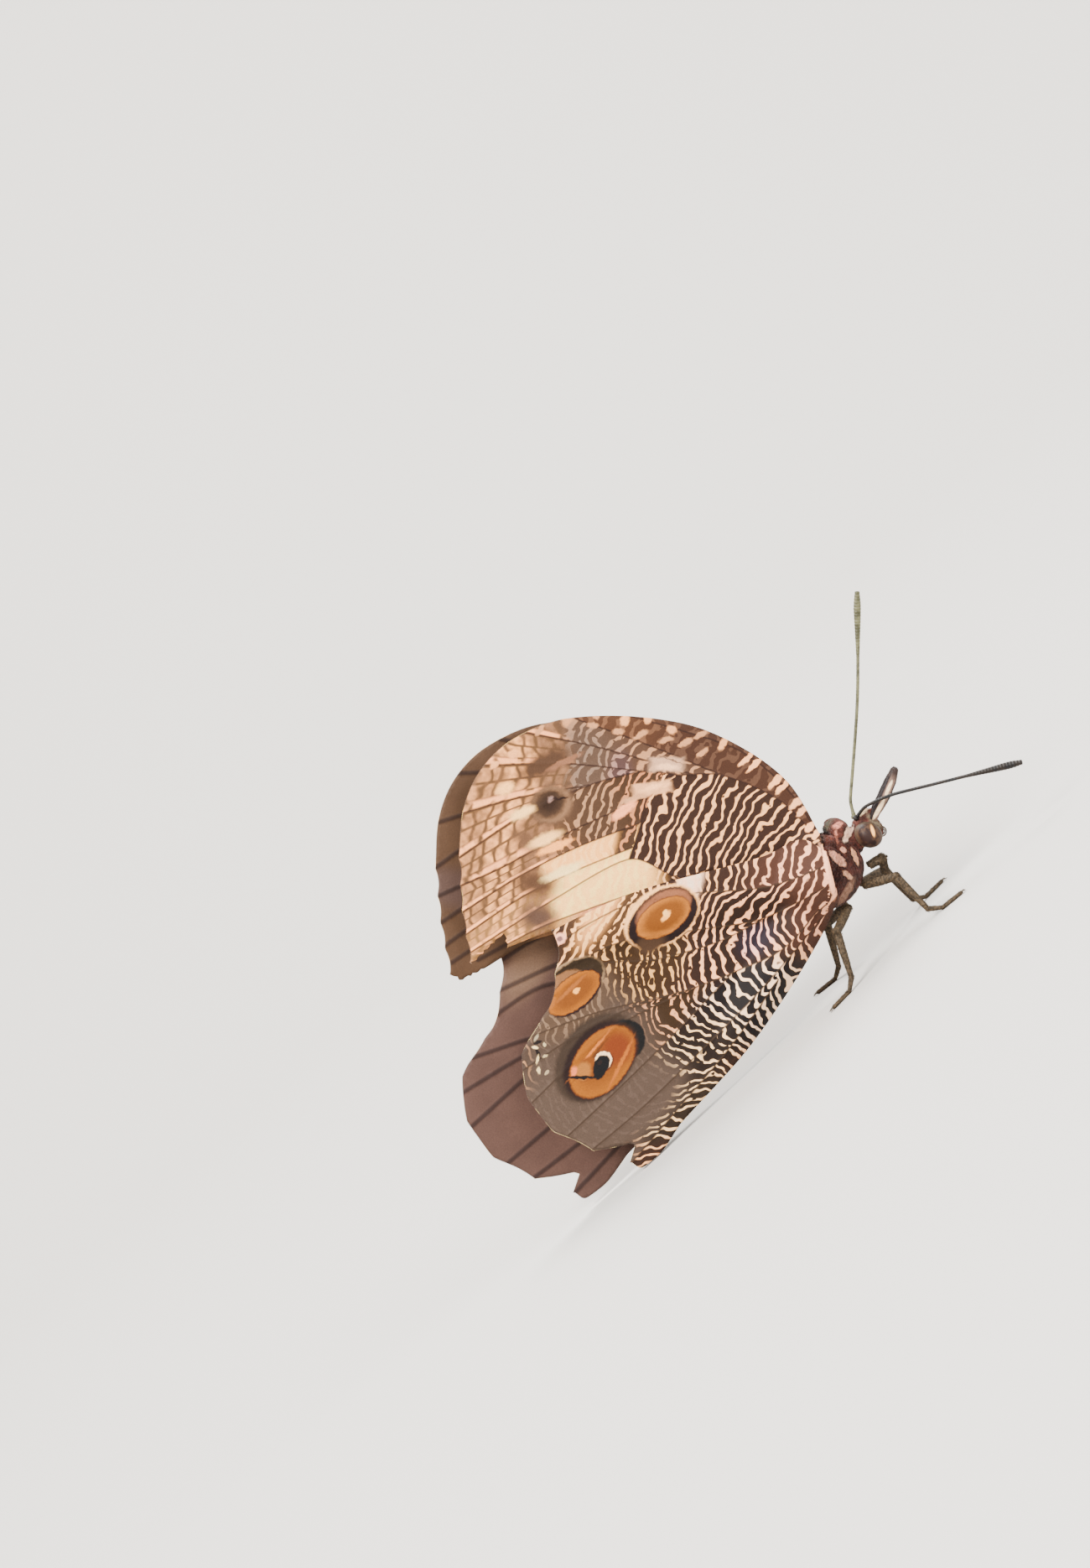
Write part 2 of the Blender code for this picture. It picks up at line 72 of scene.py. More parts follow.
modeOf = {
    "Math": "operation", "VectorMath": "operation", "MapRange": "interpolation_type",
    "Mix": "data_type", "Mapping": "vector_type", "FunctionNodeRandomValue": "data_type",
}


def addNode(tree, kind, *values, **settings):
    # The kind may carry its mode. Values go to the sockets in use, in order; a dictionary names its sockets
    kind, _, mode = kind.partition(" ")
    made = tree.nodes.new(kind if "Node" in kind else "ShaderNode" + kind)
    if mode:
        settings[modeOf[kind]] = mode
    for name, value in settings.items():
        setattr(made, name, value)
    inUse = [i for i, socket in enumerate(made.inputs) if socket.enabled]
    for i, value in enumerate(values):
        setSockets(made, value if isinstance(value, dict) else {inUse[i]: value})
    return made


def startMaterial(name):
    material = bpy.data.materials.new(name)
    material.use_nodes = True
    tree = material.node_tree
    return material, partial(addNode, tree), tree.nodes["Principled BSDF"]


def place(x, y, z):  # millimetres from the wing root to metres in the model
    return Vector(((x + rootX) * mm, y * mm, (z + rootZ) * mm))


def addObject(name, data):
    made = bpy.data.objects.new(name, data)
    bpy.context.scene.collection.objects.link(made)
    return made


def addPiece(name, mesh, replaced=(), material=None):
    if material:
        mesh.materials.append(material)
    piece = addObject(name, mesh)
    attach(piece, "root")
    if replaced:
        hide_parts(*replaced)
    print(name, "faces", len(mesh.polygons))
    return piece


def meshFrom(bm, name, outward=True, smooth=True):
    if outward:
        bmesh.ops.recalc_face_normals(bm, faces=bm.faces)
    mesh = bpy.data.meshes.new(name)
    bm.to_mesh(mesh)
    bm.free()
    if smooth:
        mesh.shade_smooth()
    return mesh


def plainMesh(name, maker):  # what the object's modifiers make, as a plain mesh
    graph = bpy.context.evaluated_depsgraph_get()
    mesh = bpy.data.meshes.new_from_object(maker.evaluated_get(graph))
    maker.modifiers.clear()
    bpy.data.objects.remove(maker)
    mesh.name = name
    return mesh


def skinRings(bm, rings, tip=None):
    # faces between rings of points, closed at the start, and at the end by a face or a tip
    def around(ring):
        return zip(ring, ring[1:] + ring[:1])

    for a, b in zip(rings, rings[1:]):
        for (a0, a1), (b0, b1) in zip(around(a), around(b)):
            bm.faces.new((a0, a1, b1, b0))
    bm.faces.new(list(reversed(rings[0])))
    if tip is None:
        bm.faces.new(rings[-1])
    else:
        for a0, a1 in around(rings[-1]):
            bm.faces.new((a0, a1, tip))


def setAttribute(mesh, name, kind, domain, values):
    layer = mesh.attributes.new(name, kind, domain)
    field = {"FLOAT": "value", "FLOAT_VECTOR": "vector", "FLOAT_COLOR": "color"}[kind]
    layer.data.foreach_set(field, np.ascontiguousarray(values, np.float32).ravel())


def setBakeMap(mesh, corners):
    mesh.uv_layers.new(name="OFBake").data.foreach_set("uv", corners.astype(np.float32).ravel())


def smoothLine(points, step):  # the same smooth curve as in the solids
    points = [Vector(p).to_3d() for p in points]
    before = [points[0] * 2 - points[1]] + points[:-1]
    after = points[1:] + [points[-1] * 2 - points[-2]]
    slopes = []
    for here, last, following in zip(points, before, after):
        reach = min((here - last).length, (following - here).length)
        slopes.append((following - last).normalized() * reach / 3)
    line = [points[0]]
    for i, (a, b) in enumerate(zip(points, points[1:])):
        count = max(1, round((b - a).length / step))
        line += interpolate_bezier(a, a + slopes[i], b - slopes[i + 1], b, count + 1)[1:]
    return line


def flatLine(points, step):
    return np.array([p[:2] for p in smoothLine(points, step)])


def smoothStep(value, low, high):
    t = np.clip((value - low) / (high - low), 0, 1)
    return t * t * (3 - 2 * t)


def sideways(line):  # unit vectors to the left of a flat line
    way = np.stack([-line[:, 1], line[:, 0]], 1)
    return way / (np.linalg.norm(way, axis=1)[:, None] + 1e-12)


def polar(points):  # reach and direction from the wing root, the direction counted on past the rear
    angle = np.degrees(np.arctan2(points[:, 1], points[:, 0]))
    return np.hypot(points[:, 0], points[:, 1]), np.where(angle < -60, angle + 360, angle)


cameraLook = {
    "middle": (-4.26, 0.0, 39.6),  # the photograph's middle, in millimetres of the model
    "away": 500.0, "frameHigh": 175.4, "roll": 42.0, "rise": 5.0, "sensor": 36.0,
}


def makeCamera():
    roll, rise = math.radians(cameraLook["roll"]), math.radians(cameraLook["rise"])
    back = Vector((0, -math.cos(rise), math.sin(rise)))
    flatUp, side = Vector((0, math.sin(rise), math.cos(rise))), Vector((1, 0, 0))
    right = side * math.cos(roll) - flatUp * math.sin(roll)
    up = side * math.sin(roll) + flatUp * math.cos(roll)
    data = bpy.data.cameras.new("photoCamera")
    camera = addObject("photoCamera", data)
    spot = (Vector(cameraLook["middle"]) + back * cameraLook["away"]) * mm
    camera.matrix_world = Matrix.Translation(spot) @ Matrix((right, up, back)).transposed().to_4x4()
    data.sensor_width = cameraLook["sensor"]
    data.lens = cameraLook["sensor"] * cameraLook["away"] / cameraLook["frameHigh"]
    data.clip_start, data.clip_end = 0.01, 20.0
    bpy.context.scene.camera = camera
    print("camera set")


studio = {  # metres
    "floor": "#BCB8B2", "wide": 1.6, "deep": 1.1, "behind": 0.35, "bend": 0.35, "wall": 1.2, "steps": 24,
    "sky": (0.97, 0.985, 1.0, 1.0), "skyStrength": 1.4, "aim": (0, 0, 0.02), "lampSize": 0.5,
    "lamps": (  # name, place, power, colour
        ("keyLamp", (-0.35, -0.55, 0.75), 30.0, (1.0, 0.98, 0.95)),
        ("fillLamp", (0.6, -0.5, 0.3), 8.4, (0.97, 0.98, 1.0)),
        ("topLamp", (0.1, 0.35, 0.8), 18.5, (1.0, 0.99, 0.98)),
    ),
}


def makeStudio():
    behind, bend = studio["behind"], studio["bend"]
    profile = [(-studio["deep"], 0.0), (behind, 0.0)]
    for i in range(1, studio["steps"] + 1):
        a = math.pi / 2 * i / studio["steps"]
        profile.append((behind + bend * math.sin(a), bend * (1 - math.cos(a))))
    profile.append((behind + bend, studio["wall"]))
    bm = bmesh.new()
    rows = [[bm.verts.new((x, y, z)) for x in (-studio["wide"], studio["wide"])] for y, z in profile]
    for a, b in zip(rows, rows[1:]):
        bm.faces.new((a[0], a[1], b[1], b[0]))
    floor = addObject("paleFloor", meshFrom(bm, "paleFloor", outward=False))
    paper, _, shader = startMaterial("paleStudioPaper")  # smooth matt paper
    setSockets(shader, {"Base Color": studio["floor"], "Roughness": 0.9})
    floor.data.materials.append(paper)
    world = bpy.data.worlds.new("softSky")
    bpy.context.scene.world = world
    world.use_nodes = True
    setSockets(world.node_tree.nodes["Background"], {"Color": studio["sky"], "Strength": studio["skyStrength"]})
    for name, spot, power, colour in studio["lamps"]:
        data = bpy.data.lights.new(name, "AREA")
        data.size, data.energy, data.color = studio["lampSize"], power, colour
        lamp = addObject(name, data)
        lamp.location = spot
        lamp.rotation_euler = (Vector(studio["aim"]) - Vector(spot)).to_track_quat("-Z", "Y").to_euler()
    print("floor and lamps set")


makeCamera()
makeStudio()

# Wing shapes in millimetres from the wing root, as in the solids
foreShape = {
    "costa": [(1.3, 1.7), (2.6, 3.9), (3.8, 10.0), (2.8, 16.0), (0.0, 22.4), (-5.0, 28.4), (-10.8, 33.0)],
    "apex": [(-16.6, 34.9), (-21.4, 34.6), (-25.6, 32.6)],
    "margin": [(-29.6, 28.9), (-33.2, 24.4), (-36.5, 19.3)],
    "chip": [(-35.9, 18.9), (-31.5, 19.0), (-32.4, 17.6)],
    "tornus": [(-36.0, 17.8), (-33.2, 16.9)],
    "inner": [(-27.0, 15.4), (-15.0, 8.6), (-4.0, 2.3), (0.2, 0.6)],
    "outerEdge": [(-21.4, 34.6), (-25.6, 32.6), (-29.6, 28.9), (-33.2, 24.4), (-36.5, 19.3), (-39.5, 15.0)],
    "scallops": 4, "fringeFrom": 0.62,
}
hindShape = {
    "costa": [(1.7, 2.2), (0.5, 5.0), (-3.8, 6.3), (-9.4, 9.1), (-16.7, 12.8), (-22.8, 14.9), (-27.2, 16.1)],
    "margin": [(-28.9, 13.3), (-33.2, 9.9), (-38.2, 8.4), (-41.4, 4.9), (-42.4, -0.4), (-40.4, -5.9)],
    "notch": [(-38.4, -7.2), (-36.4, -8.3)],
    "lobe": [(-38.2, -9.4), (-37.8, -10.9), (-36.6, -11.25), (-34.4, -11.25), (-31.0, -10.4)],
    "inner": [(-20.0, -9.3), (-11.0, -7.2), (-4.2, -5.0), (-0.8, -3.0)],
    "scallops": 6,
}
hindShape["outerEdge"] = hindShape["margin"]
foreVeins = {
    "subcosta": [(2.2, 3.2), (3.0, 10.0), (1.6, 17.4), (-5.6, 29.4)],
    "radius": [
        (1.9, 2.9), (1.5, 9.5), (-1.4, 15.9), (-5.0, 19.2), (-7.6, 22.1), (-13.0, 25.0), (-21.0, 27.6),
        (-29.6, 28.9)],
    "radius1": [(-1.4, 15.9), (-5.6, 24.6), (-10.0, 32.8)],
    "radius2": [(-3.6, 18.0), (-9.5, 27.4), (-14.8, 34.6)],
    "radius3": [(-7.6, 22.1), (-13.5, 28.6), (-20.6, 34.8)],
    "radius4": [(-13.0, 25.0), (-20.0, 29.4), (-26.0, 32.4)],
    "median1": [(-9.0, 19.7), (-18.4, 22.7), (-26.8, 24.9), (-31.6, 26.5)],
    "median2": [(-11.8, 18.1), (-19.1, 20.9), (-26.4, 22.9), (-33.4, 24.1)],
    "median3": [(-14.2, 16.6), (-20.5, 18.9), (-27.4, 20.9), (-35.0, 22.0)],
    "cellEnd": [(-5.2, 19.5), (-9.0, 19.7), (-12.1, 17.8), (-15.4, 15.9)],
    "cubitus": [(0.9, 2.1), (-6.0, 6.2), (-12.4, 10.4), (-15.4, 15.9), (-25.6, 18.4), (-36.2, 20.2)],
    "cubitus2": [(-9.0, 8.8), (-18.0, 12.9), (-27.0, 16.6), (-33.0, 18.3)],
}
hindVeins = {
    "costa": [(-0.3, 1.4), (-6.1, 3.4), (-12.4, 8.2), (-17.9, 11.9), (-23.6, 13.7), (-28.4, 14.4)],
    "radius": [(-1.3, -0.6), (-8.3, 0.7), (-14.6, 4.6), (-21.6, 9.4), (-30.2, 12.2)],
    "median1": [(-8.3, 0.7), (-14.0, 2.2), (-20.5, 5.4), (-26.0, 9.4), (-32.8, 10.5)],
    "median2": [(-2.4, -2.4), (-9.8, -2.9), (-19.3, 0.1), (-29.5, 5.5), (-36.8, 8.5)],
    "median3": [(-21.6, 1.2), (-27.5, 3.7), (-33.0, 5.2), (-40.6, 6.4)],
    "cubitus1": [(-19.3, 0.1), (-26.0, 2.2), (-32.0, 3.2), (-42.1, 2.9)],
    "cubitus2": [(-15.0, -1.4), (-26.0, -2.2), (-34.0, -2.5), (-42.2, -2.6)],
    "anal1": [(-3.0, -3.4), (-19.6, -5.3), (-32.0, -5.9), (-40.6, -5.6)],
    "anal2": [(-12.0, -5.2), (-22.0, -7.6), (-30.0, -8.7), (-38.0, -9.7)],
}
# Row lines from the front edge down: each runs from the root, along the vein that it leaves
foreFan = {
    "subcosta": None, "radius1": "radius", "radius2": "radius", "radius3": "radius", "radius4": "radius",
    "radius": None, "median1": "radius", "median2": "radius", "median3": "radius", "cubitus": None,
    "cubitus2": "cubitus",
}
hindFan = {
    "costa": None, "radius": None, "median1": "radius", "median2": None, "median3": "median2",
    "cubitus1": "median2", "cubitus2": "median2", "anal1": None, "anal2": "anal1",
}
cellRow, behindCell = 20, 9  # the forewing's closed cell, and the row that it opens into
poses = {
    "right": {"turn": 0.0, "grow": 1.0, "shift": (0.0, 0.0)},
    "leftFore": {"turn": 1.6, "grow": 1.025, "shift": (-1.3, 0.7)},
    "leftHind": {"turn": -1.4, "grow": 1.06, "shift": (-4.7, 0.7)},
}
wingBuild = {
    "sheetHalf": 0.15, "edgeHalf": 0.05, "edgeTaper": 1.2, "veinRise": 0.10, "veinHalfWidth": 0.2,
    "fillStep": 0.36, "outlineStep": 0.34, "fringeInset": 0.22, "scallop": 0.25, "tear": 0.12,
    "stack": 0.68, "hindStep": 1.12, "rootStep": 0.6, "spread": 1.1, "hug": 0.91, "bend": 0.72, "blend": 0.8,
    "slopeStep": 0.1,
}
thoraxForm = {"centre": (0.3, -0.3), "half": (4.6, 3.5, 4.1)}
abdomenForm = {"length": 16.5, "radius": 2.0}


def alongBody(start, distance):
    return start[0] + distance * tiltCos, start[1] + distance * tiltSin


def bodyAxes(x, z, centre):  # distances along the tilted body and up from its axis
    dx, dz = x - centre[0], z - centre[1]
    return dx * tiltCos + dz * tiltSin, -dx * tiltSin + dz * tiltCos


abdomenRoot = alongBody(thoraxForm["centre"], -thoraxForm["half"][0] + 0.7)
abdomenMiddle = alongBody(abdomenRoot, -abdomenForm["length"] / 2)


def bodyHalfWidth(x, z):
    # the solids' half width, carried on past the bend as a straight slope, so that wings clear the body
    slim, bend = abdomenForm["radius"] + 0.15, wingBuild["bend"]
    flank = math.sqrt(1 - bend**2)
    widest = np.zeros_like(x)
    for centre, (halfLong, halfWide, halfHigh) in (
            (thoraxForm["centre"], thoraxForm["half"]),
            (abdomenMiddle, (abdomenForm["length"] / 2 + 1.2, slim, slim))):
        along, up = bodyAxes(x, z, centre)
        reach = np.hypot(along / halfLong, up / halfHigh)
        inner = halfWide * np.sqrt(np.clip(1 - reach**2, 0, 1))
        outer = halfWide * flank - halfWide * bend / flank * (reach - bend)
        widest = np.maximum(widest, np.where(reach < bend, inner, outer))
    return widest


def turned(points, pose):
    angle = math.radians(pose["turn"])
    c, s = math.cos(angle), math.sin(angle)
    reach = np.minimum(1.0, np.hypot(points[:, 0], points[:, 1]) / 12)  # the root itself stays
    x = (points[:, 0] * c - points[:, 1] * s) * pose["grow"] + pose["shift"][0] * reach
    z = (points[:, 0] * s + points[:, 1] * c) * pose["grow"] + pose["shift"][1] * reach
    return x, z


def wingOffset(x, z, hind, forePose):
    # how far the sheet's middle is from the body's middle plane
    flat = wingBuild["stack"] + wingBuild["spread"] * ((x * x + z * z) / 40**2)
    hug = bodyHalfWidth(x, z) + wingBuild["hug"]
    middle = 0.5 * (flat + hug + np.sqrt((flat - hug) ** 2 + wingBuild["blend"] ** 2))
    if not hind:
        return middle
    # the hindwing lies outside the forewing, a step further out as far as the forewing reaches
    ends = np.array([foreShape["inner"][-1], foreShape["inner"][0]], float)
    ex, ez = turned(ends, forePose)
    ax, az = ex[1] - ex[0], ez[1] - ez[0]
    away = -((x - ex[0]) * az - (z - ez[0]) * ax) / math.hypot(ax, az) * (1 if ax > 0 else -1)
    over = smoothStep(away, -5, -1)
    step = wingBuild["hindStep"] + wingBuild["rootStep"] * np.exp(-(x * x + z * z) / 40)
    return middle + step * over * leanOf(x, z, False, forePose)


def leanOf(x, z, hind, forePose):
    # how much thicker the sheet is when it is measured straight across
    step, middle = wingBuild["slopeStep"], wingOffset(x, z, hind, forePose)
    slopeX = (wingOffset(x + step, z, hind, forePose) - middle) / step
    slopeZ = (wingOffset(x, z + step, hind, forePose) - middle) / step
    return np.sqrt(1 + slopeX**2 + slopeZ**2)


def scalloped(line, veinCount):
    ends = [0.0]
    for a, b in zip(line, line[1:]):
        ends.append(ends[-1] + (b - a).length)
    out = []
    for i, point in enumerate(line):
        ahead = line[min(i + 1, len(line) - 1)] - line[max(i - 1, 0)]
        inward = Vector((-ahead.y, ahead.x, 0)).normalized()
        wave = abs(math.sin(math.pi * veinCount * ends[i] / ends[-1]))
        out.append(point + inward * wingBuild["scallop"] * wave)
    return out


def tornEdge(corners, step):  # straight runs with small steps
    corners = [Vector(corner).to_3d() for corner in corners]
    out = [corners[0]]
    for a, b in zip(corners, corners[1:]):
        count = max(1, round((b - a).length / step))
        across = Vector((-(b - a).y, (b - a).x, 0)).normalized()
        for i in range(1, count + 1):
            shift = 0.0 if i == count else wingBuild["tear"] * math.sin(i * 2.4 + a.x)
            out.append(a.lerp(b, i / count) + across * shift)
    return out


def wingOutline(shape, chipped):
    # the closed outline, and where the fringe starts and ends on it
    step = wingBuild["outlineStep"]
    if "lobe" in shape:
        front = smoothLine(shape["costa"], step)
        margin = scalloped(smoothLine([shape["costa"][-1]] + shape["margin"], step), shape["scallops"])
        notch = smoothLine([shape["margin"][-1]] + shape["notch"], step)
        lobe = smoothLine(shape["lobe"], step)
        inner = smoothLine([shape["lobe"][-1]] + shape["inner"], step)
        ring = front[:-1] + margin[:-1] + notch + lobe[:-1] + inner
        fringed = (len(front) - 1, len(front) + len(margin) + len(notch) + len(lobe) - 4)
    else:
        tornus = shape["chip"] if chipped else shape["tornus"]
        front = smoothLine(shape["costa"] + shape["apex"] + shape["margin"][:1], step)
        margin = scalloped(smoothLine(shape["margin"], step), shape["scallops"])
        corner = tornEdge([shape["margin"][-1]] + tornus, step)[1:]
        inner = smoothLine([tornus[-1]] + shape["inner"], step)
        ring = front[:-1] + margin + corner[:-1] + inner
        fringed = (int(len(front) * shape["fringeFrom"]), len(front) + len(margin) - 2)
    ring = np.array([p[:2] for p in ring])
    # the sheet ends a little inside, where the fringe's scales stand
    inward = sideways(np.roll(ring, -1, axis=0) - np.roll(ring, 1, axis=0)) * wingBuild["fringeInset"]
    area = np.sum(ring[:, 0] * np.roll(ring[:, 1], -1) - np.roll(ring[:, 0], -1) * ring[:, 1])
    return ring + (inward if area > 0 else -inward), fringed


def insideRing(points, ring):
    x, y = points[:, 0], points[:, 1]
    odd = np.zeros(len(points), bool)
    for a, b in zip(ring, np.roll(ring, -1, axis=0)):
        if a[1] != b[1]:
            odd ^= ((a[1] > y) != (b[1] > y)) & (x < (b[0] - a[0]) * (y - a[1]) / (b[1] - a[1]) + a[0])
    return odd


def lineDistance(points, lines):
    best = np.full(len(points), 1e9)
    for line in lines:
        for a, b in zip(line, line[1:]):
            ab = b - a
            t = np.clip(((points - a) @ ab) / max(ab @ ab, 1e-12), 0, 1)
            best = np.minimum(best, np.hypot(*(points - a - t[:, None] * ab).T))
    return best


def flatWing(ring, veins):
    # even triangles over the plan, with points along both sides of each vein and edges along its crest
    vein, step = wingBuild["veinHalfWidth"], wingBuild["fillStep"]
    crests = [flatLine(route, 0.5) for route in veins.values()]
    points, edges = ring.tolist(), []
    for crest in crests:
        across = sideways(np.gradient(crest, axis=0))
        for side in (-1, 0, 1):
            first = len(points)
            points += (crest + across * vein * side).tolist()
            if side == 0:
                edges += [(j, j + 1) for j in range(first, len(points) - 1)]
    low, high = ring.min(axis=0), ring.max(axis=0)
    fill = []
    for i, y in enumerate(np.arange(low[1], high[1], step * 0.866)):
        xs = np.arange(low[0] + (i % 2) * step / 2, high[0], step)
        fill.append(np.stack([xs, np.full(len(xs), y)], 1))
    fill = np.concatenate(fill)
    fill = fill[insideRing(fill, ring)]
    fromRim = lineDistance(fill, [np.vstack([ring, ring[:1]])])
    clear = (lineDistance(fill, crests) > vein + 0.1) & (fromRim > 0.2)
    points = [Vector(p) for p in points + fill[clear].tolist()]
    made, _, faces, _, _, _ = delaunay_2d_cdt(points, edges, [list(range(len(ring)))], 0, 0.01)
    made = np.array([p[:2] for p in made])
    triangles = np.array([(face[0], face[k], face[k + 1]) for face in faces for k in range(1, len(face) - 1)])
    triangles = triangles[insideRing(made[triangles].mean(axis=1), ring)]
    a, b, c = (made[triangles[:, k]] for k in range(3))
    area = (b[:, 0] - a[:, 0]) * (c[:, 1] - a[:, 1]) - (b[:, 1] - a[:, 1]) * (c[:, 0] - a[:, 0])
    triangles[area < 0] = triangles[area < 0][:, ::-1]
    triangles = triangles[np.abs(area) > 1e-9]
    used, index = np.unique(triangles, return_inverse=True)
    return made[used], index.reshape(-1, 3), crests


def rowLines(fan, veins, radii):  # each row line's direction at these distances from the root
    out = []
    for name, parent in fan.items():
        line = flatLine(veins[name], 0.4)
        if parent:
            lead = flatLine(veins[parent], 0.4)
            line = np.vstack([lead[polar(lead)[0] < math.hypot(*line[0]) - 0.05], line])
        r, angle = polar(line)
        out.append(np.interp(radii, np.maximum.accumulate(r), angle))
    return np.array(out)


def acrossRow(angle, lines, row):  # 0 at the row's front vein, 1 at its rear one
    padded = np.vstack([lines[:1] - 12, lines, lines[-1:] + 12])
    index = np.arange(padded.shape[1])
    row = np.clip(row, 0, len(padded) - 2)
    low, high = padded[row, index], padded[row + 1, index]
    return np.clip((angle - low) / np.maximum(high - low, 0.4), 0, 1)


# Zones give the pale lines' way and spacing: rows, centre, direction in degrees, spacing, bow.
# Washes give the inks: rows, centre, half size, turn, softness, pale ink, dark ink, pale share, breaks.
# Plaid gives the rows that are chequered along the outer edge, and how far in from it.
foreMiddle, foreRear = (2, 3, 4, 5), (9, 10, 11)
forePattern = {
    "zones": [
        ((cellRow,), (-9.5, 14.5), 32, 1.0, 0.2), ((cellRow,), (-4.5, 13.0), 20, 1.04, 0.2),
        ((cellRow,), (0.3, 5.5), 8, 1.06, 0.2), ((0, 1), (2.6, 10.0), 2, 1.7, 0.0),
        ((0, 1, 2, 3), (-4.0, 24.5), 12, 1.5, 0.2), (foreMiddle, (-7.0, 24.6), 14, 1.2, 0.2),
        (foreMiddle, (-12.5, 27.0), 34, 1.2, 0.3), (foreMiddle, (-20.0, 32.0), 50, 1.5, 0.3),
        ((6, 7, 8), (-13.5, 22.5), 30, 1.02, 0.3), ((6, 7, 8), (-24.0, 24.5), 60, 1.6, 0.3),
        (foreRear, (-6.0, 5.2), 18, 1.2, 0.3), (foreRear, (-16.5, 12.5), 40, 1.1, 0.3),
        (foreRear, (-28.0, 18.0), 60, 1.6, 0.3),
    ],
    "washes": [
        ((0, 1), (0, 12), (9, 40), 0, 0.1, "#4B3224", "#362015", 0.45, 0.2),
        ((0, 1), (-9, 30), (8, 8), 0, 0.4, "#64412B", "#442919", 0.45, 0.2),
        (foreMiddle, (-10, 26), (40, 40), 0, 0.1, "#A3724F", "#452F22", 0.42, 0.15),
        (foreMiddle, (-14.0, 28.0), (6.0, 4.6), 0, 0.35, "#755C4B", "#49362A", 0.48, 0.3),
        ((2, 3, 4, 5, 6, 7), (-9.8, 23.6), (2.6, 1.3), 48, 0.5, "#87645A", "#442F2B", 0.5, 0.1),
        ((0, 1, 2, 3, 4, 5), (-22, 33.0), (9.5, 5.0), 0, 0.4, "#925E3D", "#5A3C24", 0.5, 0.2),
        ((6, 7, 8), (-14, 22), (40, 40), 0, 0.1, "#AF6D44", "#372416", 0.40, 0.1),
        ((6, 7, 8), (-15.0, 23.2), (3.6, 4.0), 0, 0.4, "#956C4C", "#3F2B1D", 0.42, 0.2),
        ((6, 7, 8), (-30, 25), (11.5, 10), 0, 0.25, "#8C5E3D", "#563A25", 0.5, 0.2),
        ((8,), (-19.6, 19.9), (7.0, 3.4), 20, 0.15, "#F4B166", "#EDA356", 0.6, 0.3),
        (foreRear, (-30, 18), (17.5, 13), 0, 0.1, "#EFAD64", "#EEA658", 0.5, 0.5),
        ((9, 10), (-20, 16), (6.5, 5), 0, 0.3, "#F3C46F", "#F2B566", 0.6, 0.3),
        ((11,), (-20, 12.5), (9.0, 4), 20, 0.4, "#F4A576", "#EB9567", 0.6, 0.3),
    ],
    "plaid": [((2, 3, 4, 5, 6, 7), 10.4), ((8,), 9.0), (foreRear, 10.4)],
}
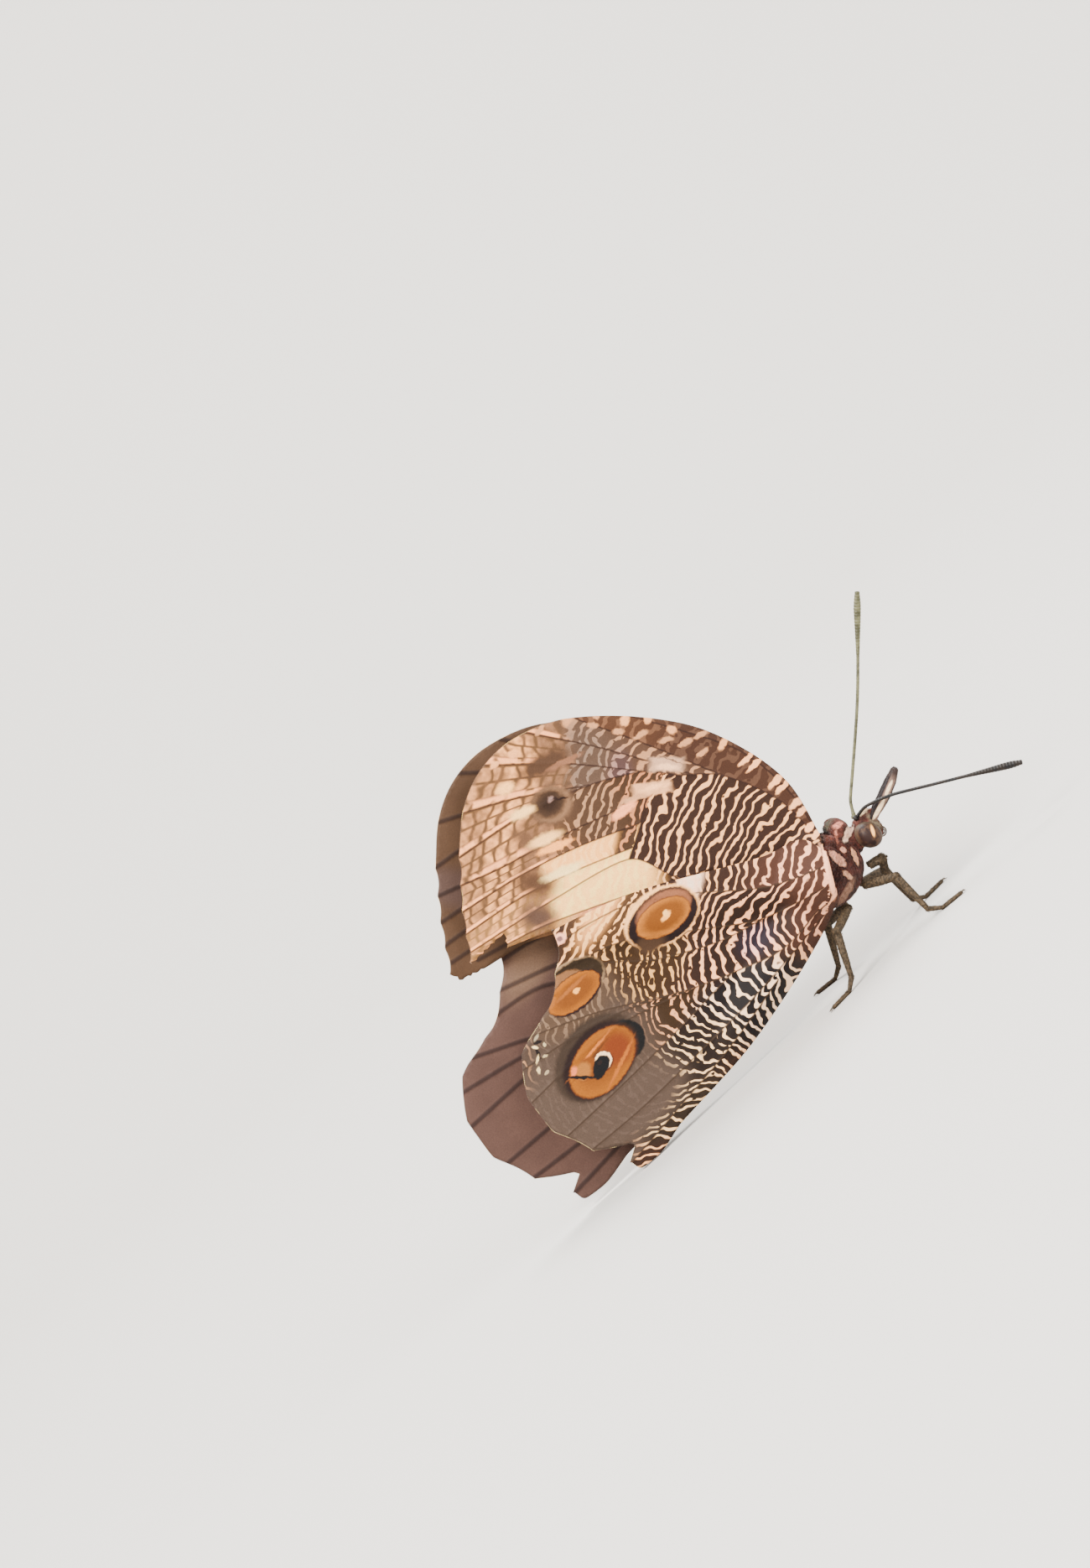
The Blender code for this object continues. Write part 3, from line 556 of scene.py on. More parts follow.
hindPattern = {
    "zones": [
        ((0, 1, 2, 3, 7, 8, 9), (-1.6, -0.4), 33, 1.2, 0.3), ((0,), (-6.8, 4.9), 35, 1.08, 0.3),
        ((0,), (-13.0, 9.6), 42, 1.0, 0.2), ((0,), (-21.8, 13.6), 20, 0.94, 0.2),
        ((1,), (-9.4, 3.0), 10, 1.08, 0.35), ((1,), (-14.5, 6.6), 30, 1.0, 0.3),
        ((1,), (-23.0, 11.2), 22, 0.94, 0.3), ((2,), (-13.5, 3.0), 40, 1.0, 0.3),
        ((2, 3), (-21.0, 6.6), 48, 0.9, 0.3), ((3,), (-11.6, -0.4), 63, 1.13, 0.4),
        ((3,), (-23.5, 4.6), 56, 0.86, 0.3), ((4, 5, 6), (-20.5, 0.3), 66, 0.95, 0.3),
        ((4, 5, 6), (-28.0, 2.2), 74, 0.9, 0.3), ((7,), (-14.0, -3.2), 79, 1.35, 0.4),
        ((6, 7), (-23.5, -3.0), 104, 0.95, 0.3), ((8, 9), (-13.0, -5.2), 79, 1.45, 0.4),
        ((8, 9), (-20.5, -6.8), 110, 1.05, 0.3), ((8, 9), (-28.6, -8.8), 150, 0.86, 0.2),
    ],
    "washes": [
        (None, (-3, 0), (6.5, 6.5), 0, 0.35, "#EAA37D", "#3E251B", 0.38, 0.0),
        ((1, 2, 3), (-12, 0.5), (7.5, 5.0), 20, 0.3, "#F5A875", "#21130D", 0.42, 0.05),
        ((0, 1), (-12.2, 9.4), (2.9, 1.25), 28, 0.35, "#EAC5A6", "#F2BB97", 0.6, 0.3),
        ((0, 1, 2), (-21.5, 13.2), (8.0, 3.6), 24, 0.35, "#F5AD6A", "#432C19", 0.54, 0.35),
        ((0, 1), (-20.5, 14.4), (5.5, 1.5), 20, 0.4, "#EEB16A", "#D69050", 0.7, 0.3),
        ((2, 3), (-22.5, 6.2), (6.5, 4.6), 22, 0.35, "#C79051", "#2D1C0D", 0.44, 0.5),
        ((4, 5, 6), (-23, 1.2), (6.5, 3.4), 10, 0.4, "#CF8D60", "#2A1B0D", 0.42, 0.5),
        # a purplish patch, partly painted sheen: its dark violet ink stands in for a violet sheen, and its pale
        # lines are the wing's own
        ((3, 4), (-10.9, -0.4), (2.4, 1.5), 0, 0.5, "#E8A495", "#1F161D", 0.42, 0.1),
        ((6, 7, 8, 9), (-16.4, -5.2), (7.4, 4.2), -8, 0.3, "#F3C79D", "#120D0D", 0.42, 0.05),
        ((7, 8, 9), (-24.5, -5.2), (5.4, 3.6), -10, 0.35, "#ECBD85", "#1B120D", 0.36, 0.35),
        ((8, 9), (-29.5, -9.0), (6.0, 2.2), -6, 0.3, "#E6B77D", "#231911", 0.38, 0.2),
        ((3, 4, 5, 6, 7), (-33.0, 2.5), (7.6, 9.0), 0, 0.25, "#47382E", "#3E3027", 0.3, 0.4),
        ((6, 7, 8), (-33.5, -5.0), (7.0, 3.4), -4, 0.3, "#483930", "#42342B", 0.4, 0.5),
        ((3, 4, 5, 6, 7, 8), (-40.0, -3.0), (5.5, 9.0), 0, 0.3, "#483930", "#42342B", 0.4, 0.5),
        ((3, 4), (-31.0, 8.6), (5.5, 3.6), 0, 0.3, "#68513E", "#443326", 0.4, 0.3),
    ],
    "plaid": [],
}
ground = {"pale": "#E8A269", "dark": "#2A1911", "share": 0.38}  # under the washes


def linePhase(points, row, across, zones):
    # each row's line count, blended from its zones, which are joined up outwards from the root
    phase = np.zeros(len(points))
    for r in np.unique(row):
        inRow = row == r
        members = [zone for zone in zones if r in zone[0]]
        if not members:
            continue
        members.sort(key=lambda zone: math.hypot(*zone[1]))
        p, bulge = points[inRow], (2 * across[inRow] - 1) ** 2
        total, weights = np.zeros(len(p)), np.zeros(len(p))
        offset, last = 0.0, None
        for _, centre, angle, spacing, bow in members:
            a, centre = math.radians(angle), np.array(centre)
            way = np.array([-math.sin(a), math.cos(a)]) / spacing
            if last:
                offset += 0.5 * (way + last[0]) @ (centre - last[1])
            last = (way, centre)
            weight = 1 / (np.sum((p - centre) ** 2, axis=1) + 2.0) ** 2
            total += weight * (offset + (p - centre) @ way + bow * bulge)
            weights += weight
        phase[inRow] = total / weights + r * 0.37  # neighbouring rows start out of step
    return phase


def washInks(points, row, washes):
    # columns: pale ink, dark ink, pale share, breaks
    plain = [*linear(ground["pale"])[:3], *linear(ground["dark"])[:3], ground["share"], 0.0]
    fields = np.tile(plain, (len(points), 1))
    for rows, centre, half, turn, soft, paleInk, darkInk, share, breaks in washes:
        a, d = math.radians(turn), points - np.array(centre)
        u = (d[:, 0] * math.cos(a) + d[:, 1] * math.sin(a)) / half[0]
        v = (-d[:, 0] * math.sin(a) + d[:, 1] * math.cos(a)) / half[1]
        weight = 1 - smoothStep(np.hypot(u, v), 1 - soft, 1 + soft)
        if rows is not None:
            weight = weight * np.isin(row, rows)
        wash = np.array([*linear(paleInk)[:3], *linear(darkInk)[:3], share, breaks])
        fields += (wash - fields) * weight[:, None]
    return fields[:, :3], fields[:, 3:6], fields[:, 6], fields[:, 7]


def makeWing(name, node, shape, veins, fan, pattern, pose, side, materials):
    hind, chipped = "lobe" in shape, side < 0
    ring, (first, last) = wingOutline(shape, chipped)
    flat, triangles, crests = flatWing(ring, veins)
    forePose = poses["leftFore"] if side > 0 else poses["right"]
    veinNear = lineDistance(flat, crests)
    edgeNear = lineDistance(flat, [np.vstack([ring, ring[:1]])])
    outerNear = lineDistance(flat, [np.array(shape["outerEdge"])])
    # the sheet: an outer and an inner face, thin at the edge, with raised veins
    x, z = turned(flat, pose)
    middle = wingOffset(x, z, hind, forePose)
    rise = wingBuild["veinRise"] * np.clip(1 - veinNear / wingBuild["veinHalfWidth"], 0, 1)
    thicker = np.clip(edgeNear / wingBuild["edgeTaper"], 0, 1)
    sheet = wingBuild["edgeHalf"] + (wingBuild["sheetHalf"] - wingBuild["edgeHalf"]) * thicker
    half = (sheet + rise) * leanOf(x, z, hind, forePose)
    count = len(flat)
    verts = np.vstack([
        np.stack([x + rootX, side * (middle + way * half), z + rootZ], 1) * mm for way in (1, -1)])
    loops = np.concatenate([triangles[:, [0, 1]], triangles[:, [1, 2]], triangles[:, [2, 0]]])
    _, index, shared = np.unique(np.sort(loops, axis=1), axis=0, return_inverse=True, return_counts=True)
    turn = 1 if side < 0 else -1  # seen from +y the plan runs the other way
    a, b = loops[shared[index.reshape(-1)] == 1][:, ::turn].T
    faces = np.concatenate([
        triangles[:, ::turn], triangles[:, ::-turn] + count,
        np.stack([b, a, a + count], 1), np.stack([b, a + count, b + count], 1)])
    mesh = bpy.data.meshes.new(name)
    mesh.from_pydata(verts.tolist(), [], faces.tolist())
    for material in materials:
        mesh.materials.append(material)
    inside = np.zeros(len(faces), int)
    inside[len(triangles):2 * len(triangles)] = 1
    mesh.polygons.foreach_set("material_index", inside)
    mesh.shade_smooth()
    # corner values, taken row by row so that lines break at the veins
    corners = faces.reshape(-1) % count
    plan = flat[corners]
    r, angle = polar(flat[faces % count].mean(axis=1))
    row = (angle[None, :] > rowLines(fan, veins, r)).sum(axis=0)
    if not hind:
        cellEnd, endAngle = polar(flatLine(veins["cellEnd"], 0.4))
        row = np.where((row == behindCell) & (r < np.interp(angle, endAngle, cellEnd)), cellRow, row)
    row = np.repeat(row, 3)
    r, angle = polar(plan)
    across = acrossRow(angle, rowLines(fan, veins, r), np.where(row == cellRow, behindCell, row))
    pale, dark, share, breaks = washInks(plan, row, pattern["washes"])
    plaid = np.zeros(len(plan))
    for rows, reach in pattern["plaid"]:
        near = 1 - smoothStep(outerNear[corners], reach - 1.2, reach + 0.8)
        plaid = np.maximum(plaid, np.isin(row, rows) * near)
    phase = linePhase(plan, row, across, pattern["zones"])
    for field, kind, values in (
            ("plan", "FLOAT_VECTOR", np.c_[plan, np.zeros(len(plan))]),
            ("lines", "FLOAT_VECTOR", np.c_[phase, share, breaks]),
            ("net", "FLOAT_VECTOR", np.c_[outerNear[corners], across, plaid]),
            ("nearVein", "FLOAT", veinNear[corners]),
            ("paleInk", "FLOAT_COLOR", np.c_[pale, np.ones(len(plan))]),
            ("darkInk", "FLOAT_COLOR", np.c_[dark, np.ones(len(plan))])):
        setAttribute(mesh, field, kind, "CORNER", values)
    second = np.repeat(inside, 3)  # the inner face's plan lies beside the outer one's on the bake map
    setBakeMap(mesh, np.stack([(plan[:, 0] + 44) / 50 * 0.48 + 0.01 + second * 0.5, (plan[:, 1] + 13) / 50], 1))
    addPiece(name, mesh, (node,))
    x, z = turned(ring[first:last + 1], pose)
    return np.stack([x + rootX, side * wingOffset(x, z, hind, forePose), z + rootZ], 1) * mm


def paintSpots(add, flat, colour, spots, limit=None):
    for centre, half, turn, soft, ink, *square in spots:
        local = add("Mapping TEXTURE", {
            "Vector": flat, "Location": (*centre, 0), "Rotation": (0, 0, math.radians(turn)),
            "Scale": (*half, 1)})
        if square:
            parts = add("SeparateXYZ", add("VectorMath ABSOLUTE", local)).outputs
            reach = add("Math MAXIMUM", parts[0], parts[1])
        else:
            reach = add("VectorMath LENGTH", local)
        mask = add("MapRange SMOOTHSTEP", reach, 1 + soft, 1 - soft)
        if limit:
            mask = add("Math MULTIPLY", mask, limit)
        colour = add("Mix RGBA", mask, colour, ink)
    return colour


def shaken(add, flat, scale, reach):  # noise moves the plan, so that a mark's rim is uneven
    noise = add("TexNoise", flat, scale).outputs["Color"]
    moved = add("VectorMath MULTIPLY_ADD", noise, (reach, reach, 0), flat)
    return add("VectorMath SUBTRACT", moved, (reach / 2, reach / 2, 0))


# Spots painted over the lines, back to front: centre, half size, turn, softness, ink, and "square" for a block
dashInks = {"bright": "#DD945C", "dull": "#B37A51"}
frontDashes = [  # pale dashes along the forewing's front edge
    ((1.85, 15.45), (1.25, 0.3), 1, 0.2, "#F4A66B"), ((2.23, 14.35), (1.3, 0.3), 2, 0.2, "#F4A66B"),
    ((2.6, 11.4), (1.1, 0.36), 3, 0.2, "#F4A66B"), ((2.8, 10.4), (1.1, 0.3), 4, 0.2, "#F4A66B"),
    ((2.7, 8.0), (1.0, 0.42), 6, 0.2, "#F0A672"), ((2.6, 6.9), (0.8, 0.34), 6, 0.2, "#F0A672"),
    ((2.1, 5.0), (0.8, 0.34), 8, 0.2, "#F0A672"), ((1.9, 4.0), (0.6, 0.28), 8, 0.2, "#F0A672"),
]
for dashX, dashZ, dashLong, dashHigh, dashTurn, dashTone in (
        (1.0, 18.5, 0.84, 0.33, 18, "bright"), (-0.1, 20.9, 0.92, 0.31, -12, "dull"),
        (-2.2, 23.5, 0.48, 0.58, 20, "bright"), (-3.5, 23.1, 0.84, 0.31, -20, "dull"),
        (-2.0, 21.4, 0.84, 0.35, -10, "dull"), (-1.3, 19.3, 0.84, 0.27, -2, "dull"),
        (-3.4, 26.2, 0.57, 0.43, 40, "bright"), (-5.2, 25.4, 0.92, 0.33, -10, "dull"),
        (-5.4, 27.8, 0.57, 0.47, 20, "bright"), (-6.8, 27.4, 0.66, 0.33, -42, "dull"),
        (-7.4, 30.4, 0.48, 0.35, 50, "dull"), (-8.4, 29.8, 0.66, 0.33, -42, "dull"),
        (-10.05, 32.2, 0.84, 0.58, 10, "dull"), (-13.2, 33.4, 0.70, 0.31, 10, "dull"),
        (-17.2, 33.4, 0.62, 0.51, 0, "bright"), (-19.6, 33.9, 0.53, 0.35, 0, "bright")):
    frontDashes.append(((dashX, dashZ), (dashLong, dashHigh), dashTurn, 0.3, dashInks[dashTone]))
rootStreak = ((0.1, 0.3), (3.0, 0.36), 62, 0.25, "#F6AE86")
foreSpots = [
    ((-15.3, 30.2), (3.2, 1.15), -15, 0.5, "#402B1D"), ((-13.6, 28.9), (2.2, 0.35), -15, 0.4, "#754D36"),
    ((-24.9, 20.9), (1.3, 2.3), 38, 0.75, "#472F1F"), ((-27.3, 17.9), (1.3, 2.0), 42, 0.75, "#483328"),
    ((-22.6, 25.2), (0.9, 1.7), 10, 0.75, "#5A3D29"), rootStreak,
    # the pale blocks behind the cell
    ((-5.2, 21.0), (1.85, 0.75), -42, 0.3, "#B5896A", "square"),
    ((-5.4, 20.8), (1.2, 0.3), -42, 0.5, "#E6AD81"), ((-4.6, 21.2), (1.5, 0.07), -60, 0.5, "#684C3B"),
    ((-8.2, 20.1), (2.1, 0.72), -33, 0.25, "#D19466", "square"),
    ((-7.9, 20.0), (1.5, 0.3), -30, 0.5, "#EFAB75"), ((-10.4, 20.6), (1.5, 0.3), -24, 0.4, "#B47F58"),
    ((-12.2, 20.4), (1.6, 0.5), -5, 0.3, "#F39765"),
    *frontDashes,
    # the small dark eye spot and the pale spots round it
    ((-17.75, 26.3), (2.6, 2.25), -14, 0.2, "#453022"), ((-17.75, 26.3), (2.2, 1.9), -14, 0.22, "#77553B"),
    ((-17.9, 26.5), (1.85, 1.55), -14, 0.25, "#402D1F"), ((-17.85, 26.5), (1.4, 1.15), -14, 0.7, "#261810"),
    ((-17.5, 26.8), (0.36, 0.28), 0, 0.5, "#785C53"), ((-16.6, 26.2), (0.9, 0.13), -34, 0.4, "#1F110D"),
    ((-20.85, 27.8), (1.5, 0.6), -18, 0.4, "#F2BA72"), ((-20.4, 31.1), (1.0, 0.62), -25, 0.5, "#F4AF66"),
    ((-20.9, 23.9), (1.9, 0.62), -19, 0.45, "#EEB16A"), ((-20.6, 22.5), (2.1, 0.45), -19, 0.3, "#ED974B"),
    ((-21.6, 19.8), (2.4, 0.5), -19, 0.5, "#EBC67F"),
]
hindSpots = [
    # the eye by the front edge
    ((-17.0, 8.75), (4.6, 3.15), -9, 0.05, "#F1AD6A"), ((-17.05, 8.5), (4.35, 2.75), -9, 0.05, "#180D0D"),
    ((-19.9, 7.3), (1.7, 1.1), -20, 0.4, "#39271A"), ((-16.3, 9.25), (3.55, 2.1), -10, 0.06, "#3E261B"),
    ((-16.4, 9.1), (3.38, 1.95), -10, 0.08, "#79492F"), ((-16.95, 8.55), (3.42, 1.98), -9, 0.05, "#35130D"),
    ((-16.95, 8.55), (3.32, 1.9), -9, 0.06, "#9A5B1D"), ((-16.75, 8.55), (2.75, 1.45), -9, 0.3, "#6A390D"),
    ((-16.58, 8.5), (0.72, 0.34), 9, 0.3, "#EDA04D"), ((-16.4, 8.75), (0.4, 0.3), 40, 0.3, "#EDAF61"),
    # the small ring above the second eye
    ((-27.1, 14.6), (0.75, 0.62), 0, 0.2, "#F0A482"), ((-27.1, 14.6), (0.38, 0.3), 0, 0.3, "#6E4C48"),
    # the second eye
    ((-29.4, 9.7), (4.0, 2.5), -4, 0.06, "#8C6F50"), ((-29.2, 9.75), (3.85, 2.2), -4, 0.08, "#24190E"),
    ((-30.6, 9.75), (3.0, 1.9), -4, 0.08, "#704A2C"), ((-29.95, 8.8), (3.6, 1.9), -3, 0.05, "#1B0D0D"),
    ((-30.0, 8.9), (3.42, 1.72), -3, 0.05, "#884B0D"), ((-29.9, 8.8), (2.8, 1.2), -3, 0.35, "#67360D"),
    ((-29.9, 9.5), (2.3, 0.2), 2, 0.5, "#834A1D"), ((-29.6, 8.9), (0.44, 0.28), 6, 0.3, "#EB9E48"),
    # the large eye
    ((-33.0, 1.8), (5.7, 3.95), 10, 0.08, "#2D221A"), ((-32.9, 1.3), (5.1, 3.4), 9.5, 0.08, "#1A0F0D"),
    ((-29.4, 1.1), (2.5, 2.25), 0, 0.06, "#0E0D0D"), ((-32.8, 1.0), (4.72, 3.02), 9.5, 0.04, "#35150D"),
    ((-32.8, 1.0), (4.6, 2.9), 9.5, 0.05, "#82480D"), ((-32.5, 1.0), (3.7, 2.2), 9.5, 0.4, "#6C390D"),
    ((-30.6, 1.0), (1.9, 1.7), 10, 0.5, "#61290D"), ((-33.4, 2.55), (3.1, 0.16), 8, 0.5, "#B06126"),
    ((-33.6, 2.05), (2.9, 0.14), 9, 0.5, "#4D280D"), ((-31.4, -0.55), (2.9, 0.2), 22, 0.5, "#944F18"),
    ((-32.7, 0.95), (1.26, 1.14), 20, 0.1, "#421B0D"), ((-32.68, 1.0), (1.12, 0.98), 20, 0.07, "#EDC293"),
    ((-34.7, 1.55), (1.5, 1.05), 20, 0.15, "#66340D"), ((-35.1, 1.68), (1.05, 0.85), 20, 0.25, "#895420"),
    ((-35.9, 2.3), (0.6, 0.32), 40, 0.4, "#C9673C"), ((-35.7, 1.25), (1.7, 0.18), -42, 0.3, "#110D0D"),
    ((-33.5, 0.62), (1.3, 0.76), 32, 0.1, "#0D0C0D"), ((-33.0, 0.8), (1.06, 0.86), 20, 0.08, "#0D0C0D"),
    ((-33.1, 1.1), (0.3, 0.2), 8, 0.4, "#1B1210"),
    # pale marks by the outer edge
    ((-37.5, 6.6), (0.6, 0.2), 70, 0.3, "#160F0D"), ((-36.7, 7.5), (0.5, 0.16), -20, 0.3, "#160F0D"),
    ((-36.5, 8.0), (0.42, 0.16), 20, 0.5, "#8E7F64"), ((-37.3, 7.3), (0.36, 0.16), -50, 0.4, "#E9C687"),
    ((-36.3, 6.8), (0.28, 0.18), 60, 0.3, "#B09A71"), ((-38.0, 6.1), (0.5, 0.14), 35, 0.4, "#C9AD79"),
    ((-37.1, 5.8), (0.34, 0.16), -20, 0.3, "#A8916A"), ((-38.7, 5.1), (0.4, 0.2), 60, 0.3, "#CAB07D"),
    ((-38.2, 4.3), (0.3, 0.15), 10, 0.3, "#958162"), rootStreak,
]
scaleLook = {
    "wander": ((0.22, 1.5), (0.5, 1.3), (1.4, 0.52)),  # noise scale per millimetre, and how far lines stray
    "plaidStep": 1.5, "fileWidth": 0.39, "plaidGround": "#543922", "plaidInks": ("#EB9D5D", "#855A3D"),
    "streak": "#F09B61", "grain": 7000, "ribs": 2200, "ribShare": 0.8,  # grain: scales about 0.15 mm across
    "shade": (0.9, 1.08), "noise": (0.3, 0.7),  # the part of the noise's range in use
    # the wavy lines: how much their width sways, their width and rim, and the gaps in them
    "swell": 0.05, "swellScale": 0.9, "lineWidth": 0.42, "lineRim": (-0.035, 0.045),
    "gapScale": 1.6, "gapShare": (-0.42, 0.78), "gapRim": (0.03, -0.03), "lineHeight": 0.25,
    # the plaid: its drift, files and blocks, and the bands where its ink changes
    "drift": 0.42, "driftScale": 0.45, "fileFrom": 0.03, "fileStep": 0.28, "blockScale": 1.1,
    "blockShare": (0.35, 1.0), "blockRim": (0.46, 0.2), "fileRim": (0.48, 0.34), "plaidShare": 0.85,
    "outerBand": (3.9, 2.2), "outerShare": 0.55, "innerBand": (5.9, 7.6),
    # the rays and the veins
    "rayScale": 0.7, "rayGaps": (0.34, 0.5), "rayRims": ((0.76, 0.86), (0.99, 0.93)),
    "veinRim": (0.14, 0.05), "upperVeinRim": (0.4, 0.08), "veinShare": 0.75,
}


def finishWing(material, add, shader, colour, height, rough):
    coords = add("TexCoord").outputs["Object"]
    grain = add("TexNoise", coords, scaleLook["grain"], 1)
    ribs = add("TexNoise", coords, scaleLook["ribs"])
    height = add("Math ADD", add("Math MULTIPLY_ADD", ribs, scaleLook["ribShare"], grain), height)
    shade = add("MapRange LINEAR", grain, *scaleLook["noise"], *scaleLook["shade"])
    setSockets(shader, {
        "Base Color": add("Mix RGBA", 1.0, colour, shade, blend_type="MULTIPLY"),
        "Normal": add("Bump", {"Strength": 0.35, "Distance": 0.06 * mm, "Height": height}),
        "Roughness": rough, "Specular IOR Level": 0.1, "Sheen Weight": 0.02, "Sheen Roughness": 0.45,
        "Sheen Tint": (1.0, 0.93, 0.86, 1.0)})
    return material


def wingUnderMaterial(name, spots, veinInk, streaks, shakeScale, shakeReach):
    # chitin scales laid like tiles: matt, with a faint silky sheen
    material, add, shader = startMaterial(name)
    look, given = scaleLook, {}
    for field, output in (("plan", "Vector"), ("lines", "Vector"), ("net", "Vector"), ("nearVein", "Fac"),
                          ("paleInk", "Color"), ("darkInk", "Color")):
        given[field] = add("Attribute", attribute_name=field).outputs[output]
    plan = given["plan"]
    phase, share, breaks = add("SeparateXYZ", given["lines"]).outputs
    edge, across, plaid = add("SeparateXYZ", given["net"]).outputs
    # wavy lines: pale where the wandering line count is near a whole number, with some gaps
    for scale, reach in look["wander"]:
        phase = add("Math MULTIPLY_ADD", add("TexNoise", plan, scale, 0), reach, phase)
    noise = add("TexNoise", plan, look["swellScale"], 1)
    swell = add("MapRange LINEAR", noise, *look["noise"], -look["swell"], look["swell"])
    share = add("Math MULTIPLY", add("Math ADD", share, swell), look["lineWidth"])
    inLine = add("Math SUBTRACT", share, add("Math PINGPONG", phase, 0.5))
    mask = add("MapRange SMOOTHSTEP", inLine, *look["lineRim"])
    gap = add("Math MULTIPLY_ADD", breaks, *look["gapShare"])
    gap = add("Math SUBTRACT", add("TexNoise", plan, look["gapScale"], 0), gap)
    mask = add("Math MULTIPLY", mask, add("MapRange SMOOTHSTEP", gap, *look["gapRim"]))
    colour = add("Mix RGBA", mask, given["darkInk"], given["paleInk"])
    # a plaid of pale blocks: bands along the edge crossed by two files between the veins
    noise = add("TexNoise", plan, look["driftScale"], 1)
    drift = add("MapRange LINEAR", noise, *look["noise"], -look["drift"], look["drift"])
    files = add("Math DIVIDE", add("Math SUBTRACT", across, look["fileFrom"]), look["fileWidth"])
    shift = add("Math MULTIPLY_ADD", add("Math FLOOR", files), look["fileStep"], drift)
    beat = add("Math DIVIDE", add("Math ADD", edge, shift), look["plaidStep"])
    noise = add("TexNoise", plan, look["blockScale"], 1)
    block = add("MapRange LINEAR", noise, *look["noise"], *look["blockShare"])
    for count, rim in ((beat, look["blockRim"]), (files, look["fileRim"])):
        fromMiddle = add("Math ABSOLUTE", add("Math SUBTRACT", add("Math FRACT", count), 0.5))
        block = add("Math MULTIPLY", block, add("MapRange SMOOTHSTEP", fromMiddle, *rim))
    colour = add("Mix RGBA", add("Math MULTIPLY", plaid, look["plaidShare"]), colour, look["plaidGround"])
    bands = add("Math MULTIPLY", add("MapRange SMOOTHSTEP", edge, *look["outerBand"]), look["outerShare"])
    bands = add("Math MAXIMUM", bands, add("MapRange SMOOTHSTEP", edge, *look["innerBand"]))
    blockInk = add("Mix RGBA", bands, *look["plaidInks"])
    colour = add("Mix RGBA", add("Math MULTIPLY", block, plaid), colour, blockInk)
    if streaks:  # a pale ray along each vein's front side
        noise = add("TexNoise", plan, look["rayScale"], 1)
        ray = add("Math MULTIPLY", plaid, add("MapRange SMOOTHSTEP", noise, *look["rayGaps"]))
        for rim in look["rayRims"]:
            ray = add("Math MULTIPLY", ray, add("MapRange SMOOTHSTEP", across, *rim))
        colour = add("Mix RGBA", ray, colour, look["streak"])
    onVein = add("MapRange SMOOTHSTEP", given["nearVein"], *look["veinRim"])
    onVein = add("Math MULTIPLY", onVein, look["veinShare"])
    colour = add("Mix RGBA", onVein, colour, veinInk)
    colour = paintSpots(add, shaken(add, plan, shakeScale, shakeReach), colour, spots)
    return finishWing(material, add, shader, colour, add("Math MULTIPLY", mask, look["lineHeight"]), 0.62)


def wingUpperMaterial(name, inks, bands, veinInk):
    # the upper side: plain dark scales with darker veins and a paler band
    material, add, shader = startMaterial(name)
    plan = add("Attribute", attribute_name="plan").outputs["Vector"]
    near = add("Attribute", attribute_name="nearVein").outputs["Fac"]
    cloud = add("TexNoise", plan, 0.25, 3)
    colour = paintSpots(add, plan, add("Mix RGBA", cloud, *inks), bands)
    onVein = add("MapRange SMOOTHSTEP", near, *scaleLook["upperVeinRim"])
    onVein = add("Math MULTIPLY", onVein, scaleLook["veinShare"])
    return finishWing(material, add, shader, add("Mix RGBA", onVein, colour, veinInk), cloud, 0.6)


def growTree(name, part, material, sizes, aim):
    # a part on each point of an evenly stepped path, turned and sized by aim
    tree = bpy.data.node_groups.new(name, "GeometryNodeTree")
    add = partial(addNode, tree)
    for way in ("INPUT", "OUTPUT"):
        tree.interface.new_socket("Geometry", in_out=way, socket_type="NodeSocketGeometry")
    for size, value in sizes.items():
        socket = tree.interface.new_socket(size, in_out="INPUT", socket_type="NodeSocketFloat")
        socket.default_value = value
    start = add("NodeGroupInput")
    points = add("GeometryNodeResampleCurve", {
        "Curve": add("GeometryNodeMeshToCurve", start), "Length": start.outputs["Step"]}, mode="LENGTH")
    rotation, scale = aim(add, start.outputs, add("GeometryNodeInputTangent"))
    grown = add("GeometryNodeInstanceOnPoints", {
        "Points": points, "Instance": add("GeometryNodeObjectInfo", {"Object": part}).outputs["Geometry"],
        "Rotation": rotation, "Scale": scale})
    real = add("GeometryNodeRealizeInstances", grown)
    add("NodeGroupOutput", add("GeometryNodeSetMaterial", {"Geometry": real, "Material": material}))
    return tree


def growAlong(name, path, tree, sizes, thick=None):
    # a chain of points grown into a plain mesh by the tree
    mesh = bpy.data.meshes.new(name + "Path")
    mesh.from_pydata([tuple(p) for p in path], [(i, i + 1) for i in range(len(path) - 1)], [])
    if thick is not None:
        setAttribute(mesh, "thick", "FLOAT", "POINT", thick)
    maker = addObject(name + "Path", mesh)
    modifier = maker.modifiers.new("grow", "NODES")
    modifier.node_group = tree
    for item in tree.interface.items_tree:
        if item.in_out == "INPUT" and item.name in sizes:
            modifier[item.identifier] = sizes[item.name]
    return plainMesh(name, maker)


fringe = {
    "Step": 0.16 * mm, "Length": 0.34 * mm, "Width": 0.09 * mm, "seed": 3,
    "jitter": (0.25, 0.12, 0.25), "shortest": 0.6,
    "scaleRows": ((-0.25, 0.6), (0.3, 1.0), (0.75, 0.75)), "scaleFlat": 0.12,  # height and width of each row
}


def scaleMesh():
    # a flat tapered scale, one unit long
    bm = bmesh.new()
    rows = []
    for z, w in fringe["scaleRows"]:
        corners = ((-1, 0), (0, -1), (1, 0), (0, 1))
        rows.append([bm.verts.new((x * w * 0.5, y * w * fringe["scaleFlat"], z)) for x, y in corners])
    skinRings(bm, rows, bm.verts.new((0, 0, 1.0)))
    return meshFrom(bm, "fringeScale", smooth=False)


